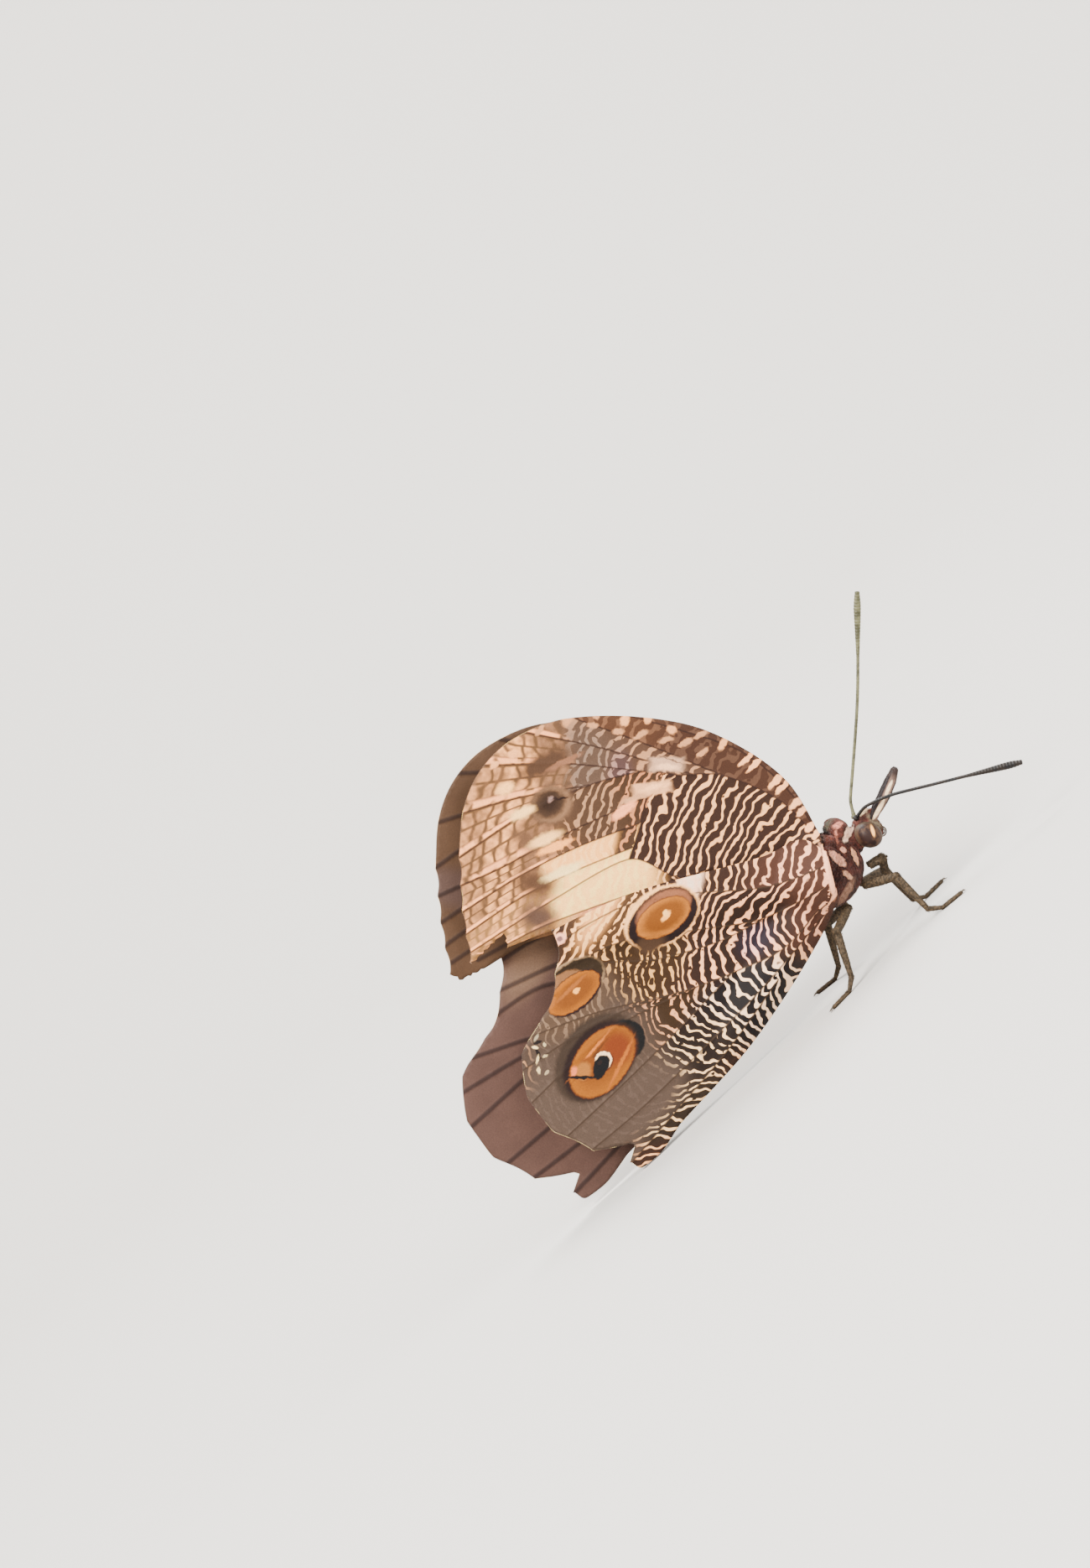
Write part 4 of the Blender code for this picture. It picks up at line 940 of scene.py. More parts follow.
def aimFringe(add, given, tangent):  # outwards from the edge, flat with the wing
    out = add("VectorMath CROSS_PRODUCT", tangent, (0, 1, 0))
    far, seed = fringe["jitter"], fringe["seed"]
    jitter = add("FunctionNodeRandomValue FLOAT_VECTOR", tuple(-j for j in far), far, {"Seed": seed})
    align = partial(add, "FunctionNodeAlignRotationToVector")
    turn = align({"Vector": add("VectorMath ADD", out, jitter)}, axis="Z")
    flat = align({"Rotation": turn, "Vector": (0, 1, 0)}, axis="Y", pivot_axis="Z")
    share = add("FunctionNodeRandomValue FLOAT", fringe["shortest"], 1.0, {"Seed": seed + 1})
    height = add("Math MULTIPLY", share, given["Length"])
    return flat, add("CombineXYZ", given["Width"], given["Width"], height)


def fringeMaterial(name, inks):
    # hair-like edge scales, in short runs of pale and dark
    material, add, shader = startMaterial(name)
    coords = add("TexCoord").outputs["Object"]
    run = add("MapRange SMOOTHSTEP", add("TexNoise", coords, 420, 1), 0.52, 0.62)
    ground = add("Mix RGBA", add("TexNoise", coords, 2500, 1), *inks[:2])
    setSockets(shader, {
        "Base Color": add("Mix RGBA", run, ground, inks[2]), "Roughness": 0.65, "Sheen Weight": 0.15})
    return material


wingLooks = {
    "fore": {
        "forms": (foreShape, foreVeins, foreFan, forePattern),
        "under": (foreSpots, "#22120D", True, 1.5, 0.62),  # spots, vein ink, rays, how the spots are shaken
        "upper": (("#342214", "#4C3626"), [
            ((-21.0, 17.5), (10.0, 2.4), 38, 0.4, "#896040"), ((-28, 24), (9, 2.2), -52, 0.5, "#44322B"),
        ], "#1E120F"),
        "fringe": ("#604835", "#876347", "#EEBF70"),
    },
    "hind": {
        "forms": (hindShape, hindVeins, hindFan, hindPattern),
        "under": (hindSpots, "#2E2117", False, 2.4, 0.36),
        "upper": (("#3B2923", "#4F3830"), [
            ((-25.0, 12.5), (5.0, 2.0), 20, 0.5, "#5D4636"), ((-20, 0), (9, 5), 10, 0.7, "#261D26"),
        ], "#1B100F"),
        "fringe": ("#45392F", "#5F5042", "#ECCE8D"),
    },
}


def makeWings():
    for kind, look in wingLooks.items():
        look["materials"] = (
            wingUnderMaterial(kind + "UndersideScales", *look["under"]),
            wingUpperMaterial(kind + "UpperScales", *look["upper"]))
        look["edge"] = fringeMaterial(kind + "Fringe", look["fringe"])
    part = addObject("fringeScale", scaleMesh())
    sizes = {key: fringe[key] for key in ("Step", "Length", "Width")}
    for name, pose, side in (
            ("foreWingRight", "right", -1), ("foreWingLeft", "leftFore", 1),
            ("hindWingRight", "right", -1), ("hindWingLeft", "leftHind", 1)):
        look, node = wingLooks[name[:4]], name[:4] + "wing_" + name[8:].lower()
        path = makeWing(name, node, *look["forms"], poses[pose], side, look["materials"])
        tree = growTree("wingFringe", part, look["edge"], sizes, aimFringe)
        addPiece(name + "Fringe", growAlong(name + "Fringe", path, tree, sizes))
    bpy.data.objects.remove(part)


bodyForm = {
    "forms": [  # centre and half size: thorax, collar, neck, head, brow
        ((0.3, 0.0, -0.3), (4.32, 3.22, 3.82)), ((4.2, 0.0, 2.45), (1.15, 1.7, 1.6)),
        ((5.0, 0.0, 0.3), (1.7, 1.0, 1.35)), ((6.8, 0.0, 0.2), (1.5, 1.12, 1.82)),
        ((7.35, 0.0, 1.25), (1.25, 0.88, 0.98)),
    ],
    "shoulders": [((0.8, 3.0, 1.2), (1.7, 0.8, 1.3)), ((1.5, 2.05, 1.95), (1.9, 1.0, 1.05))],
    "voxel": 0.12, "coatDepth": 0.26, "segments": 8, "slimmest": 0.2, "waist": 1.35, "round": 28,
}


def settle(elements, before, spot):
    # Blender's spheres come with points and faces in an order that changes from run to run. Tufts are drawn
    # by face, so the new ones are put in order among their own places
    elements.index_update()
    made = [element for element in elements if element not in before]
    for index, element in zip([element.index for element in made], sorted(made, key=spot)):
        element.index = index
    elements.sort()


def ellipsoid(bm, centre, half, tilt, rings, sides):
    verts, faces = set(bm.verts), set(bm.faces)
    turn = Matrix.Rotation(-tilt, 4, "Y") @ Matrix.Diagonal((*[h * mm for h in half], 1))
    shape = Matrix.Translation(place(*centre)) @ turn @ Matrix.Rotation(math.pi / 2, 4, "Y")
    bmesh.ops.create_uvsphere(bm, u_segments=sides, v_segments=rings, radius=1, matrix=shape)
    settle(bm.verts, verts, lambda vertex: tuple(vertex.co))
    settle(bm.faces, faces, lambda face: tuple(face.calc_center_median()))


def tube(bm, line, radii, sides, flatten=1.0):
    # a closed tube in millimetres from the wing root
    rings = []
    for i, centre in enumerate(line):
        ahead = (line[min(i + 1, len(line) - 1)] - line[max(i - 1, 0)]).normalized()
        up = Vector((0, 1, 0)).cross(ahead)
        up = up.normalized() if up.length > 1e-6 else Vector((0, 0, 1))
        across = ahead.cross(up)
        ring = []
        for k in range(sides):
            a = 2 * math.pi * k / sides
            spot = centre + up * (math.cos(a) * radii[i]) + across * (math.sin(a) * radii[i] * flatten)
            ring.append(bm.verts.new(place(*spot)))
        rings.append(ring)
    skinRings(bm, rings)


def abdomenRadius(t):  # widest at two fifths, with a groove between its rings
    shape = (1 - abs(2 * t - 0.82) ** 3 * 0.55) if t < 0.41 else (1 - ((t - 0.41) / 0.6) ** 2.4)
    groove = abs(math.sin(math.pi * bodyForm["segments"] * t)) ** 0.5
    radius = abdomenForm["radius"] * shape * (0.93 + 0.07 * groove) - 0.1 - bodyForm["coatDepth"] * 0.75
    return max(bodyForm["slimmest"], radius)


def bodyMesh():
    # one skin over thorax, neck, head and abdomen
    bm = bmesh.new()
    for centre, half in bodyForm["forms"]:
        ellipsoid(bm, centre, half, bodyTilt, 24, 36)
    for (x, y, z), half in bodyForm["shoulders"]:
        for side in (-1, 1):
            ellipsoid(bm, (x, side * y, z), half, bodyTilt, 12, 18)
    start = alongBody(thoraxForm["centre"], -thoraxForm["half"][0] + 1.2)
    end = alongBody(thoraxForm["centre"], -thoraxForm["half"][0] - 0.3)
    line, radii = [Vector((start[0], 0, start[1]))], [bodyForm["waist"]]
    for t in np.linspace(0, 1, bodyForm["segments"] * 8 + 1):
        x, z = alongBody(end, -abdomenForm["length"] * t)
        line.append(Vector((x, 0, z)))
        radii.append(abdomenRadius(t))
    tube(bm, line, radii, bodyForm["round"])
    maker = addObject("bodyForms", meshFrom(bm, "bodyForms", smooth=False))
    remesh = maker.modifiers.new("oneSkin", "REMESH")
    remesh.mode, remesh.voxel_size, remesh.use_smooth_shade = "VOXEL", bodyForm["voxel"] * mm, True
    soften = maker.modifiers.new("soften", "SMOOTH")
    soften.factor, soften.iterations = 0.5, 4
    skin = plainMesh("bodySkin", maker)
    skin.shade_smooth()
    return skin


# Marks on the body, seen from the side: centre and half size from the wing root, turn, softness, ink
bodyMarks = [
    ((4.0, 4.3), (2.3, 0.7), 20, 0.5, "#403928"), ((4.55, 3.0), (0.7, 0.26), -13, 0.3, "#C87D66"),
    ((3.5, 2.15), (0.8, 0.2), 53, 0.35, "#C87D66"), ((4.85, 1.5), (1.35, 0.56), 20, 0.1, "#1F0D0D"),
    ((4.85, 1.5), (1.15, 0.42), 20, 0.18, "#F0C6A8"), ((1.95, 0.5), (1.5, 0.64), 98, 0.12, "#1F0D0D"),
    ((1.95, 0.5), (1.3, 0.48), 98, 0.18, "#F6B395"), ((3.1, 0.7), (0.42, 0.28), -77, 0.3, "#EEAA8E"),
    ((3.6, -0.9), (1.2, 0.4), 71, 0.12, "#1B0D0D"), ((3.6, -0.9), (1.05, 0.28), 71, 0.2, "#F5B388"),
    ((1.6, -1.7), (0.75, 0.3), -85, 0.3, "#EFB48E"), ((0.2, -3.2), (1.6, 0.45), 20, 0.4, "#AA7D65"),
    ((7.6, 2.2), (1.15, 0.34), -8, 0.2, "#F1D2A7"), ((6.5, 2.35), (0.5, 0.4), 0, 0.3, "#100D0D"),
    ((5.35, -0.6), (0.26, 0.8), 10, 0.3, "#EC9E73"), ((8.1, 0.2), (0.5, 1.3), 10, 0.4, "#74644F"),
]
furLook = {
    "thorax": ("#391C15", "#63352B"), "back": "#2D1D15", "belly": "#7C5F47", "ringEdge": "#9D7D5B",
    "cloud": 700, "cloudRim": (0.35, 0.65), "fleck": 3800, "noise": (0.3, 0.7), "fleckShade": (0.72, 1.22),
    "toneShade": (0.7, 1.3), "shakeScale": 1.8, "shakeReach": 0.5,
    # along and above the body's axis, in millimetres
    "bellyRim": (0.2, -1.6), "ringFrom": 4.9, "ringRim": (0.22, 0.06), "abdomenRim": (-3.6, -5.4),
    "flankRim": (0.2, 0.6),
}


def sideView(add):
    # the object's own coordinates, the distance from its middle, and the side plan in millimetres
    coords = add("TexCoord").outputs["Object"]
    moved = add("Mapping POINT", {
        "Vector": coords, "Location": (-rootX, 0, -rootZ), "Scale": (1 / mm, 1 / mm, 1 / mm)})
    x, y, z = add("SeparateXYZ", moved).outputs
    return coords, y, add("CombineXYZ", x, z)


def bodyFurMaterial(name, tufts):
    # fine hair-like scales, reddish brown with pinkish white patches, matt with a soft sheen
    material, add, shader = startMaterial(name)
    coords, fromMiddle, flat = sideView(add)
    cloud = add("MapRange SMOOTHSTEP", add("TexNoise", coords, furLook["cloud"], 3), *furLook["cloudRim"])
    fleck = add("TexNoise", coords, furLook["fleck"], 1)
    colour = add("Mix RGBA", cloud, *furLook["thorax"])
    along, up, _ = add("SeparateXYZ", add("Mapping TEXTURE", {
        "Vector": flat, "Location": (*thoraxForm["centre"], 0), "Rotation": (0, 0, bodyTilt)})).outputs
    # the abdomen: dark above, pale below, with pale ring edges
    below = add("MapRange SMOOTHSTEP", up, *furLook["bellyRim"])
    belly = add("Mix RGBA", below, furLook["back"], furLook["belly"])
    halfRing = abdomenForm["length"] / (2 * bodyForm["segments"])
    ring = add("Math PINGPONG", add("Math ADD", along, furLook["ringFrom"]), halfRing)
    belly = add("Mix RGBA", add("MapRange SMOOTHSTEP", ring, *furLook["ringRim"]), belly, furLook["ringEdge"])
    colour = add("Mix RGBA", add("MapRange SMOOTHSTEP", along, *furLook["abdomenRim"]), colour, belly)
    # the marks leave a line free along the middle
    flank = add("MapRange SMOOTHSTEP", add("Math ABSOLUTE", fromMiddle), *furLook["flankRim"])
    steady = shaken(add, flat, furLook["shakeScale"], furLook["shakeReach"])
    colour = paintSpots(add, steady, colour, bodyMarks, flank)
    shade = add("MapRange LINEAR", fleck, *furLook["noise"], *furLook["fleckShade"])
    if tufts:
        tone = add("Attribute", attribute_name="tone").outputs["Fac"]
        shade = add("Math MULTIPLY", shade, add("MapRange LINEAR", tone, 0, 1, *furLook["toneShade"]))
    else:
        bump = add("Bump", {"Strength": 0.6, "Distance": 0.08 * mm, "Height": fleck})
        setSockets(shader, {"Normal": bump})
    setSockets(shader, {
        "Base Color": add("Mix RGBA", 1.0, colour, shade, blend_type="MULTIPLY"), "Roughness": 0.75,
        "Sheen Weight": 0.08, "Sheen Roughness": 0.4, "Specular IOR Level": 0.15})
    return material


def scatter(mesh, count, allowed=None):
    # spots on the mesh, even by area where they are allowed, with the skin's normals
    verts, normals = np.zeros(len(mesh.vertices) * 3), np.zeros(len(mesh.vertices) * 3)
    mesh.vertices.foreach_get("co", verts)
    mesh.calc_loop_triangles()
    triangles = np.zeros(len(mesh.loop_triangles) * 3, int)
    mesh.loop_triangles.foreach_get("vertices", triangles)
    mesh.vertices.foreach_get("normal", normals)
    verts, triangles, normals = verts.reshape(-1, 3), triangles.reshape(-1, 3), normals.reshape(-1, 3)
    a, b, c = (verts[triangles[:, k]] for k in range(3))
    area = np.linalg.norm(np.cross(b - a, c - a), axis=1)
    if allowed:
        area = area * allowed((a + b + c) / 3 / mm - wingRoot)
    pick = rng.choice(len(triangles), count, p=area / area.sum())
    u, v = rng.random(count), rng.random(count)
    flip = u + v > 1
    u, v = np.where(flip, 1 - u, u), np.where(flip, 1 - v, v)
    shares = np.stack([1 - u - v, u, v], 1)[:, :, None]
    spots, ways = ((array[triangles[pick]] * shares).sum(axis=1) for array in (verts, normals))
    return spots, ways / np.linalg.norm(ways, axis=1)[:, None]


tuft = {
    "twist": 0.28, "liftRange": (0.7, 1.3), "lengthRange": (0.65, 1.0), "widthRange": (0.8, 1.2),
    "rootDepth": 0.04, "kneeWidth": 0.75, "thick": 0.35, "bend": 0.35, "patch": 0.003,
    "faces": [
        (0, 2, 1), (0, 1, 4), (0, 4, 3), (1, 2, 5), (1, 5, 4), (2, 0, 3), (2, 3, 5), (3, 4, 6), (4, 5, 6),
        (5, 3, 6)],
    "tones": (0, 0, 0, 0.15, 0.15, 0.15, 0.3),
    "map": [(0, 0), (1, 0), (0.5, 0.3), (0.15, 0.6), (0.85, 0.6), (0.5, 0.7), (0.5, 1)],
}


def growTufts(name, spots, normals, lie, look, around, along, material, length=None):
    # bent three-sided tufts, ten triangles each, all closed; around and along place each on the bake map
    count = len(spots)
    lie = lie - normals * np.sum(lie * normals, axis=1)[:, None]
    lie /= np.linalg.norm(lie, axis=1)[:, None] + 1e-9
    twist = rng.normal(0, tuft["twist"], count)[:, None]
    lie = lie * np.cos(twist) + np.cross(normals, lie) * np.sin(twist)
    side = np.cross(normals, lie)
    lift = (look["lift"] * rng.uniform(*tuft["liftRange"], count))[:, None]
    length = look["length"] if length is None else length
    length = (length * rng.uniform(*tuft["lengthRange"], count) * mm)[:, None]
    width = (look["width"] * rng.uniform(*tuft["widthRange"], count) * mm)[:, None]
    first, second = (lie * np.cos(a) + normals * np.sin(a) for a in (lift, lift * tuft["bend"]))
    up = np.cross(first, side)
    root = spots - normals * tuft["rootDepth"] * mm
    knee = root + first * length * 0.5
    points = []
    for middle, size in ((root, width), (knee, width * tuft["kneeWidth"])):
        points += [middle + side * size * 0.5, middle - side * size * 0.5, middle - up * size * tuft["thick"]]
    points = np.stack(points + [knee + second * length * 0.5], axis=1)
    pattern = np.array(tuft["faces"])
    one = points[0][pattern] - points[0].mean(axis=0)
    if np.sum(np.einsum("ij,ij->i", one[:, 0], np.cross(one[:, 1], one[:, 2]))) < 0:
        pattern = pattern[:, ::-1]
    faces = (pattern[None] + (np.arange(count) * len(tuft["tones"]))[:, None, None]).reshape(-1, 3)
    mesh = bpy.data.meshes.new(name)
    mesh.from_pydata(points.reshape(-1, 3).tolist(), [], faces.tolist())
    mesh.shade_smooth()
    setAttribute(mesh, "tone", "FLOAT", "POINT", rng.random(count)[:, None] * 0.7 + np.array(tuft["tones"]))
    patch = np.stack([around * 0.99 + 0.002, along * 0.99 + 0.002], 1)
    setBakeMap(mesh, (patch[:, None, :] + np.array(tuft["map"]) * tuft["patch"])[:, pattern])
    addPiece(name, mesh, material=material)


def turnAbout(up, out):  # a place round an axis, from 0 to 1
    return np.arctan2(up, out) / (2 * math.pi) + 0.5


coat = {
    "thorax": {"count": 17500, "length": 0.85, "width": 0.1, "lift": 0.36, "range": (-4.9, 4.4)},
    "head": {"count": 5200, "length": 0.46, "width": 0.065, "lift": 0.5, "range": (4.4, 9.5)},
    "abdomen": {"count": 14500, "length": 0.55, "width": 0.1, "lift": 0.28, "range": (-24.0, -4.9)},
    "back": (-tiltCos, 0, -tiltSin - 0.25),  # the hair lies back and a little down
}


def makeBody():
    skin = bodyMesh()
    underFur = bodyFurMaterial("bodyUnderFur", False)
    addPiece("bodySkin", skin, ("thorax", "head", "abdomen"), underFur)
    hair = bodyFurMaterial("bodyHairScales", True)
    for name in ("thorax", "head", "abdomen"):
        look = coat[name]
        low, high = look["range"]

        def allowed(p):
            along = bodyAxes(p[:, 0], p[:, 2], thoraxForm["centre"])[0]
            return (along > low) & (along <= high)

        spots, normals = scatter(skin, look["count"], allowed)
        lie = np.tile(coat["back"], (len(spots), 1))
        if name == "head":
            lie = lie * 0.4 + np.array([0.1, 0, 0.9])  # the face's hair stands up and back
        length = look["length"] * np.ones(len(spots))
        if name == "abdomen":
            length *= np.interp(spots[:, 0] / mm, [-12, -6], [0.8, 1.0])
        p = spots / mm - wingRoot
        along, up = bodyAxes(p[:, 0], p[:, 2], thoraxForm["centre"])
        along = np.clip((along - low) / (high - low), 0, 1)
        growTufts(name + "Coat", spots, normals, lie, look, turnAbout(up, p[:, 1]), along, hair, length)


eyeForm = {
    "centre": (6.4, 0.85, -0.2), "half": (1.42, 1.8, 1.65), "facets": 11000, "blotches": 1500,
    "inks": ("#1E100D", "#402C1F"), "rim": "#46392D", "pupil": "#251714", "glint": "#F6AE5F",
}


def makeEyes():
    # compound eye: tiny facets under a satin cornea, brown with a paler rim and a painted highlight on its
    # front
    material, add, shader = startMaterial("compoundEyeCornea")
    coords, _, flat = sideView(add)
    cells = add("TexVoronoi", coords, eyeForm["facets"])
    blotch = add("MapRange SMOOTHSTEP", add("TexNoise", coords, eyeForm["blotches"]), 0.4, 0.62)
    brown = add("Mix RGBA", blotch, *eyeForm["inks"])
    colour = paintSpots(add, flat, eyeForm["rim"], [
        ((6.4, -0.2), (1.3, 1.5), 18, 0.14, brown), ((6.0, -0.1), (0.7, 0.6), 20, 0.6, eyeForm["pupil"]),
        # a painted highlight: a pale streak on the cornea's front
        ((6.98, 0.0), (0.62, 0.2), 62, 0.35, eyeForm["glint"])])
    bump = add("Bump", {"Strength": 0.5, "Distance": 0.03 * mm, "Height": cells}, invert=True)
    setSockets(shader, {
        "Base Color": colour, "Normal": bump, "Roughness": 0.55, "Specular IOR Level": 0.12,
        "Coat Weight": 0.03, "Coat Roughness": 0.2})
    x, y, z = eyeForm["centre"]
    for side, end in ((1, "Left"), (-1, "Right")):
        bm = bmesh.new()
        ellipsoid(bm, (x, side * y, z), eyeForm["half"], bodyTilt, 40, 56)
        mesh = meshFrom(bm, "eye" + end)
        addPiece("eye" + end, mesh, ("eye_" + end.lower(),), material)


antennaForm = {
    "left": [(6.6, 0.45, 2.2), (7.7, 1.05, 3.95), (16.0, 3.6, 11.6), (24.0, 5.9, 20.2)],
    "right": [(6.6, -0.5, 2.1), (8.3, -1.15, 2.42), (11.2, -2.3, 1.62), (15.4, -4.1, -0.4), (24.0, -7.5, -4.6)],
    # the two feelers are one material in life: the far left one is painted paler, as in light, and the near
    # right one near black, as in shade
    "leftShell": (("#3B3925", "#5B583C"), 900, 0.42),  # inks, noise scale, roughness
    "rightShell": (("#0D0C0D", "#19120D"), 900, 0.42),
    "Step": 0.36 * mm, "sides": 10,
    "thick": ((0, 0.34), (0.02, 0.19), (0.72, 0.19), (0.92, 0.42), (0.95, 0.42), (1, 0.2935)),  # share, radius
    "barrel": ((-0.56, 0.86), (-0.4, 1.0), (0.25, 1.02), (0.46, 0.94), (0.56, 0.84)),  # height, radius
}


def shellMaterial(name, inks, scale, rough):
    # sclerotin with fine scales: half gloss, mottled
    material, add, shader = startMaterial(name)
    coords = add("TexCoord").outputs["Object"]
    blotch = add("MapRange SMOOTHSTEP", add("TexNoise", coords, scale), 0.38, 0.62)
    bump = add("Bump", {"Strength": 0.3, "Distance": 0.03 * mm, "Height": add("TexNoise", coords, 5000, 1)})
    setSockets(shader, {
        "Base Color": add("Mix RGBA", blotch, *inks), "Normal": bump, "Roughness": rough,
        "Specular IOR Level": 0.2})
    return material


def ringOf(bm, sides, radius, z):
    ways = [2 * math.pi * k / sides for k in range(sides)]
    return [bm.verts.new((math.cos(a) * radius, math.sin(a) * radius, z)) for a in ways]


def aimRing(add, given, tangent):  # along the feeler, as thick as the path says
    thick = add("GeometryNodeInputNamedAttribute", "thick", data_type="FLOAT")
    turn = add("FunctionNodeAlignRotationToVector", {"Vector": tangent}, axis="Z")
    return turn, add("CombineXYZ", thick, thick, given["Step"])


def makeAntennae():
    # ringed shafts with a slender club
    bm = bmesh.new()
    skinRings(bm, [ringOf(bm, antennaForm["sides"], r, z) for z, r in antennaForm["barrel"]])
    part = addObject("feelerRing", meshFrom(bm, "feelerRing", outward=False))
    sizes = {"Step": antennaForm["Step"]}
    for side in ("left", "right"):
        line = smoothLine(antennaForm[side], 0.4)
        thick = np.interp(np.linspace(0, 1, len(line)), *zip(*antennaForm["thick"])) * mm
        material = shellMaterial(side + "FeelerScales", *antennaForm[side + "Shell"])
        tree = growTree("ringedFeeler", part, material, sizes, aimRing)
        name = "antenna" + side.title()
        mesh = growAlong(name, [place(*p) for p in line], tree, sizes, thick)
        addPiece(name, mesh, ("antenna_" + side,))
    bpy.data.objects.remove(part)


palpForm = {
    "line": [(7.9, 0.5, 0.75), (9.0, 0.62, 1.2), (10.4, 0.7, 1.68), (12.1, 0.77, 2.45), (13.6, 0.8, 3.22)],
    "radii": (0.45, 0.56, 0.6, 0.56, 0.3), "count": 2100, "length": 0.42, "width": 0.075, "lift": 0.3,
    "lie": (0.86, 0, 0.5), "inks": ("#5A4840", "#947361"), "fleck": 3500,
    # the pale bar ink serves the white bar at the base and a painted highlight bar further out
    "edge": "#190D0D", "tip": "#2D1F1B", "barAndHighlight": "#EDD1A9",
    # the colours' axis in the side plan, where edges and tip begin, and how the coat rolls out
    "axis": (10.4, 1.68), "axisTurn": 25, "edgeRims": ((0.22, 0.42), (-0.3, -0.5)), "tipRim": (1.9, 3.2),
    "middle": (10.1, 0.75, 1.4), "slope": 0.56, "from": 8, "run": 6,
}
tongueForm = {
    "centre": (7.75, -1.05), "radius": 0.62, "turns": 2.6, "steps": 150, "start": 1.4, "thick": (0.09, 0.055),
    "closer": 0.76, "flatten": 1.4, "shell": (("#2D1C0D", "#432D13"), 1500, 0.35),
}


def palpMaterial(name):
    # scale-clad palp: a white bar at the base and a painted highlight bar further out, greyish pink sides,
    # brown edges
    material, add, shader = startMaterial(name)
    coords, _, flat = sideView(add)
    colour = add("Mix RGBA", add("TexNoise", coords, palpForm["fleck"], 1), *palpForm["inks"])
    along, up, _ = add("SeparateXYZ", add("Mapping TEXTURE", {
        "Vector": flat, "Location": (*palpForm["axis"], 0),
        "Rotation": (0, 0, math.radians(palpForm["axisTurn"]))})).outputs
    above, below = (add("MapRange SMOOTHSTEP", up, *rim) for rim in palpForm["edgeRims"])
    colour = add("Mix RGBA", add("Math MAXIMUM", above, below), colour, palpForm["edge"])
    colour = add("Mix RGBA", add("MapRange SMOOTHSTEP", along, *palpForm["tipRim"]), colour, palpForm["tip"])
    colour = paintSpots(add, flat, colour, [
        ((9.2, 1.2), (1.3, 0.24), 20, 0.2, palpForm["barAndHighlight"]),
        # a painted highlight: a pale bar along the palp's upper part
        ((11.5, 2.2), (1.0, 0.2), 25, 0.2, palpForm["barAndHighlight"])])
    setSockets(shader, {
        "Base Color": colour, "Roughness": 0.7, "Specular IOR Level": 0.15, "Sheen Weight": 0.05})
    return material


def makePalps():
    middleX, middleY, middleZ = palpForm["middle"]
    skin, hair = palpMaterial("palpSkin"), palpMaterial("palpHairScales")
    for side, end in ((1, "Left"), (-1, "Right")):
        line = smoothLine([(x, side * y, z) for x, y, z in palpForm["line"]], 0.25)
        share = np.linspace(0, len(palpForm["radii"]) - 1, len(line))
        bm = bmesh.new()
        tube(bm, line, np.interp(share, range(len(palpForm["radii"])), palpForm["radii"]), 16)
        mesh = meshFrom(bm, "palp" + end)
        addPiece("palp" + end, mesh, ("palp_" + end.lower(),), skin)
        spots, normals = scatter(mesh, palpForm["count"])
        p = spots / mm - wingRoot
        above = p[:, 2] - middleZ - (p[:, 0] - middleX) * palpForm["slope"]
        around = turnAbout(above, p[:, 1] - side * middleY)
        along = np.clip((p[:, 0] - palpForm["from"]) / palpForm["run"], 0, 1)
        lie = np.tile(palpForm["lie"], (len(spots), 1))
        growTufts("palp" + end + "Coat", spots, normals, lie, palpForm, around, along, hair)
    # the coiled tongue between the palps
    t = np.linspace(0, 1, tongueForm["steps"])
    a = tongueForm["start"] - 2 * math.pi * tongueForm["turns"] * t
    r = tongueForm["radius"] * (1 - tongueForm["closer"] * t)
    x, z = tongueForm["centre"]
    points = [Vector(p) for p in zip(x + r * np.cos(a), np.zeros(len(t)), z + r * np.sin(a))]
    bm = bmesh.new()
    tube(bm, points, np.interp(t, (0, 1), tongueForm["thick"]), 8, tongueForm["flatten"])
    shell = shellMaterial("tongueShell", *tongueForm["shell"])
    addPiece("coiledTongue", meshFrom(bm, "coiledTongue"), (), shell)


legForm = {
    "foreleg": [(4.1, 1.1, -2.95), (5.9, 1.3, -3.3), (5.0, 1.35, -4.8)],
    "midleg": [(2.2, 1.7, -4.05), (5.4, 4.6, -5.2), (5.6, 6.0, -10.1), (6.9, 6.6, -11.0), (9.6, 7.4, -11.0)],
    "hindleg": [
        (-0.6, 1.5, -4.7), (-3.6, 4.4, -5.4), (-5.8, 5.8, -10.1), (-7.0, 6.4, -11.0), (-9.6, 7.5, -11.0)],
    "radii": (0.42, 0.48, 0.3, 0.22, 0.2), "foreRadii": (0.3, 0.34, 0.2),
    "steps": 8, "thighBulge": 0.16, "bulge": 0.06, "knee": 1.08, "footJoints": 0.14,
    "claw": ((0.05, 0.06, 0), (0.3, 0.16, 0.05), (0.42, 0.2, -0.16)), "clawThick": (0.07, 0.015),
    "shell": (("#2A2115", "#483927"), 4200, 0.65), "spineShell": (("#0D0C0D", "#0E0D0D"), 1400, 0.4),
}
legCoat = {
    "count": 2400, "brushCount": 1300, "length": 0.36, "brushLength": 0.66, "brushFrom": (0.2, 0.6),
    "width": 0.06, "lift": 0.4,
}
spines = {
    "Step": 0.34 * mm, "Length": 0.55 * mm, "foreLength": 0.6 * mm, "Thick": 0.035 * mm,
    "seed": 5, "lean": 0.8,
}


def aimSpine(add, given, tangent):  # forward along the leg, turned about it at random
    aside = add("FunctionNodeRandomValue FLOAT_VECTOR", (-1, -1, -1), (1, 1, 1), {"Seed": spines["seed"]})
    way = add("VectorMath ADD", aside, add("VectorMath SCALE", tangent, spines["lean"]))
    turn = add("FunctionNodeAlignRotationToVector", {"Vector": way}, axis="Z")
    return turn, add("CombineXYZ", given["Thick"], given["Thick"], given["Length"])


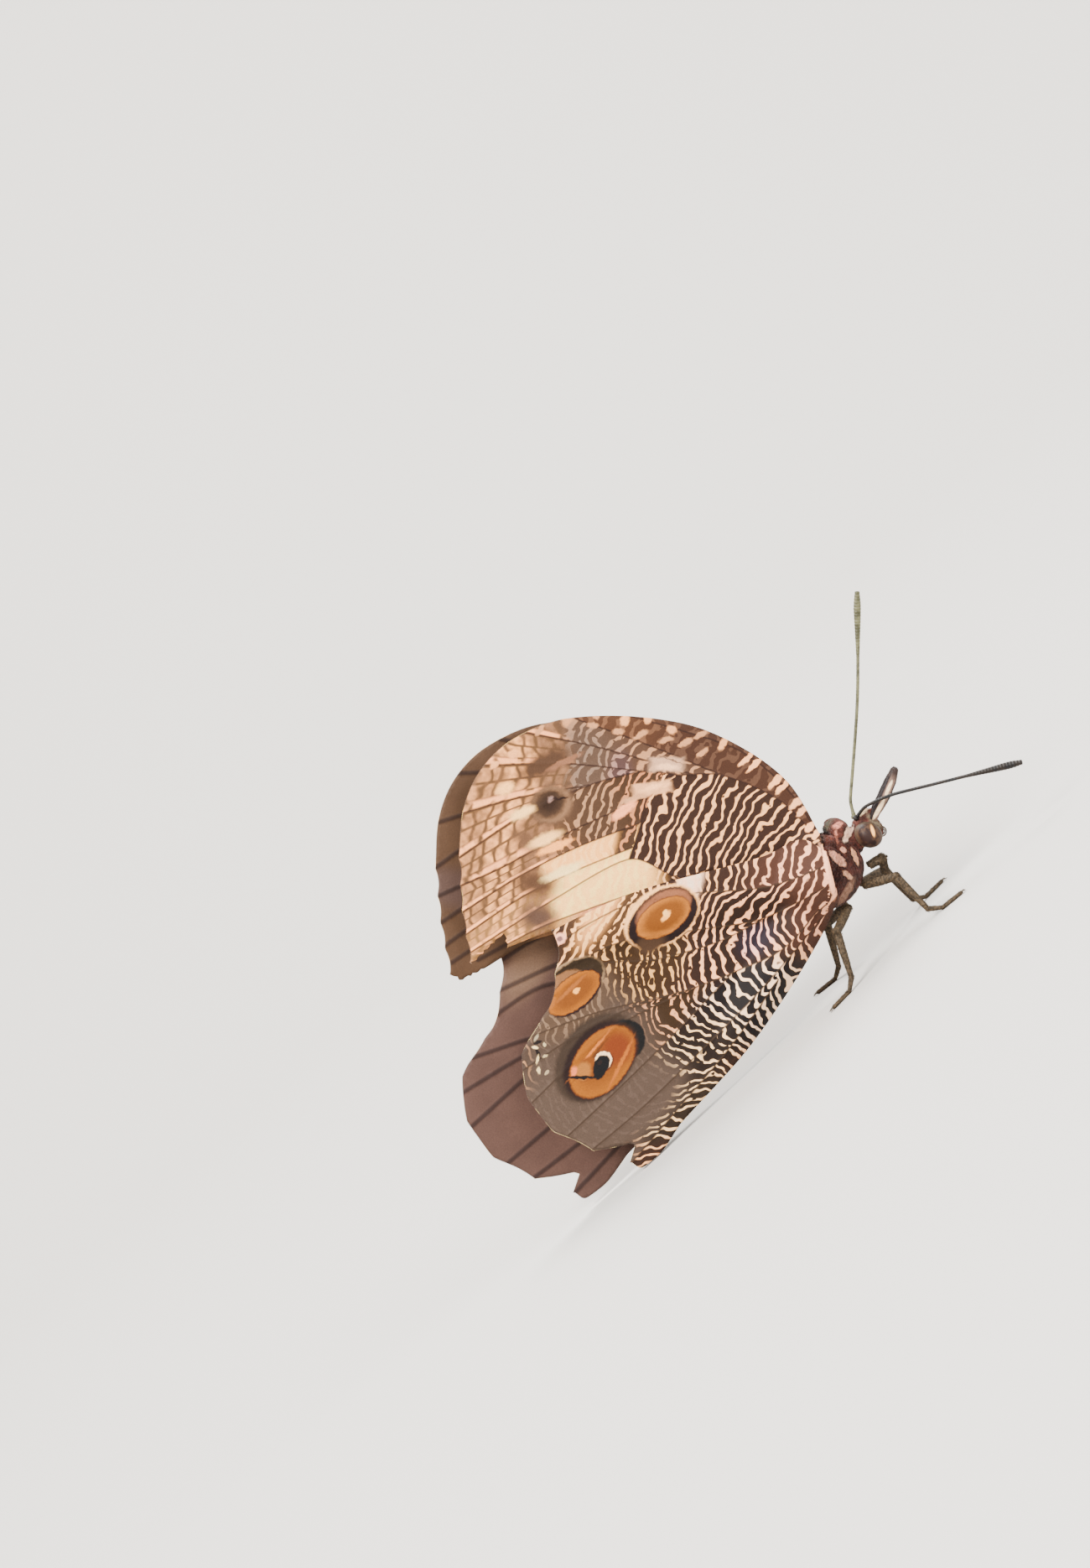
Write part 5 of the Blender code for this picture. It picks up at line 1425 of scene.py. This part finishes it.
def legMesh(name, joints, radii, foot):
    bm = bmesh.new()
    share = np.linspace(0, 1, legForm["steps"] + 1)
    for i, (a, b) in enumerate(zip(joints, joints[1:])):
        bulge = legForm["thighBulge"] if i == 0 else legForm["bulge"]
        size = (radii[i] + (radii[i + 1] - radii[i]) * share) * (1 + bulge * np.sin(math.pi * share))
        if foot and i == 3:  # small joints in the foot
            size[1::2] *= 1 + legForm["footJoints"]
        tube(bm, [a.lerp(b, t) for t in share], size, 12)
        if i < len(joints) - 2:
            ellipsoid(bm, b, [radii[i + 1] * legForm["knee"]] * 3, 0, 8, 12)
    if foot:
        last, ahead = joints[-1], (joints[-1] - joints[-2]).normalized()
        aside = Vector((-ahead.y, ahead.x, 0))
        for side in (-1, 1):  # paired claws
            bends = [last + ahead * x + aside * side * y + Vector((0, 0, z)) for x, y, z in legForm["claw"]]
            claw = smoothLine(bends, 0.08)
            tube(bm, claw, np.linspace(*legForm["clawThick"], len(claw)), 6)
    mesh = meshFrom(bm, name)
    for vertex in mesh.vertices:  # nothing under the floor
        vertex.co.z = max(0.0, vertex.co.z)
    mesh.update()
    return mesh


def growLegCoat(name, mesh, joints, foot, material):
    # small scales that lie along each joint, longer on the brush of a foreleg
    count = legCoat["count"] if foot else legCoat["brushCount"]
    spots, normals = scatter(mesh, count)
    ends = np.array([place(*joint) for joint in joints])
    nearest, lie, along = np.full(count, 1e9), np.zeros((count, 3)), np.zeros(count)
    for i, (a, b) in enumerate(zip(ends, ends[1:])):
        t = np.clip((spots - a) @ (b - a) / np.sum((b - a) ** 2), 0, 1)
        far = np.linalg.norm(spots - a - t[:, None] * (b - a), axis=1)
        closer = far < nearest
        nearest, along = np.where(closer, far, nearest), np.where(closer, (i + t) / len(ends), along)
        lie = np.where(closer[:, None], (b - a)[None] / np.linalg.norm(b - a), lie)
    reach = (legCoat["length"], legCoat["length"] if foot else legCoat["brushLength"])
    length = np.interp(along, legCoat["brushFrom"], reach)
    around = turnAbout(normals[:, 2], normals[:, 1])
    growTufts(name + "Coat", spots, normals, lie, legCoat, around, along, material, length)


def makeLegs():
    bm = bmesh.new()
    skinRings(bm, [ringOf(bm, 4, 1, 0)], bm.verts.new((0, 0, 1)))
    part = addObject("legSpine", meshFrom(bm, "legSpine", outward=False, smooth=False))
    shell = shellMaterial("legScales", *legForm["shell"])
    dark = shellMaterial("legSpines", *legForm["spineShell"])
    sizes = {key: spines[key] for key in ("Step", "Length", "Thick")}
    tree = growTree("legSpines", part, dark, sizes, aimSpine)
    for leg in ("foreleg", "midleg", "hindleg"):
        foot = leg != "foreleg"
        sizes["Length"] = spines["Length"] if foot else spines["foreLength"]
        for side, end in ((1, "Left"), (-1, "Right")):
            name, joints = leg + end, [Vector((x, side * y, z)) for x, y, z in legForm[leg]]
            mesh = legMesh(name, joints, legForm["radii"] if foot else legForm["foreRadii"], foot)
            addPiece(name, mesh, (leg + "_" + end.lower(),), shell)
            growLegCoat(name, mesh, joints, foot, shell)
            route = joints[1:4] if foot else joints
            path = [place(*a.lerp(b, k / 10)) for a, b in zip(route, route[1:]) for k in range(10)]
            addPiece(name + "Spines", growAlong(name + "Spines", path, tree, sizes))
    bpy.data.objects.remove(part)


makeBody()
makeEyes()
makeAntennae()
makePalps()
makeLegs()
makeWings()
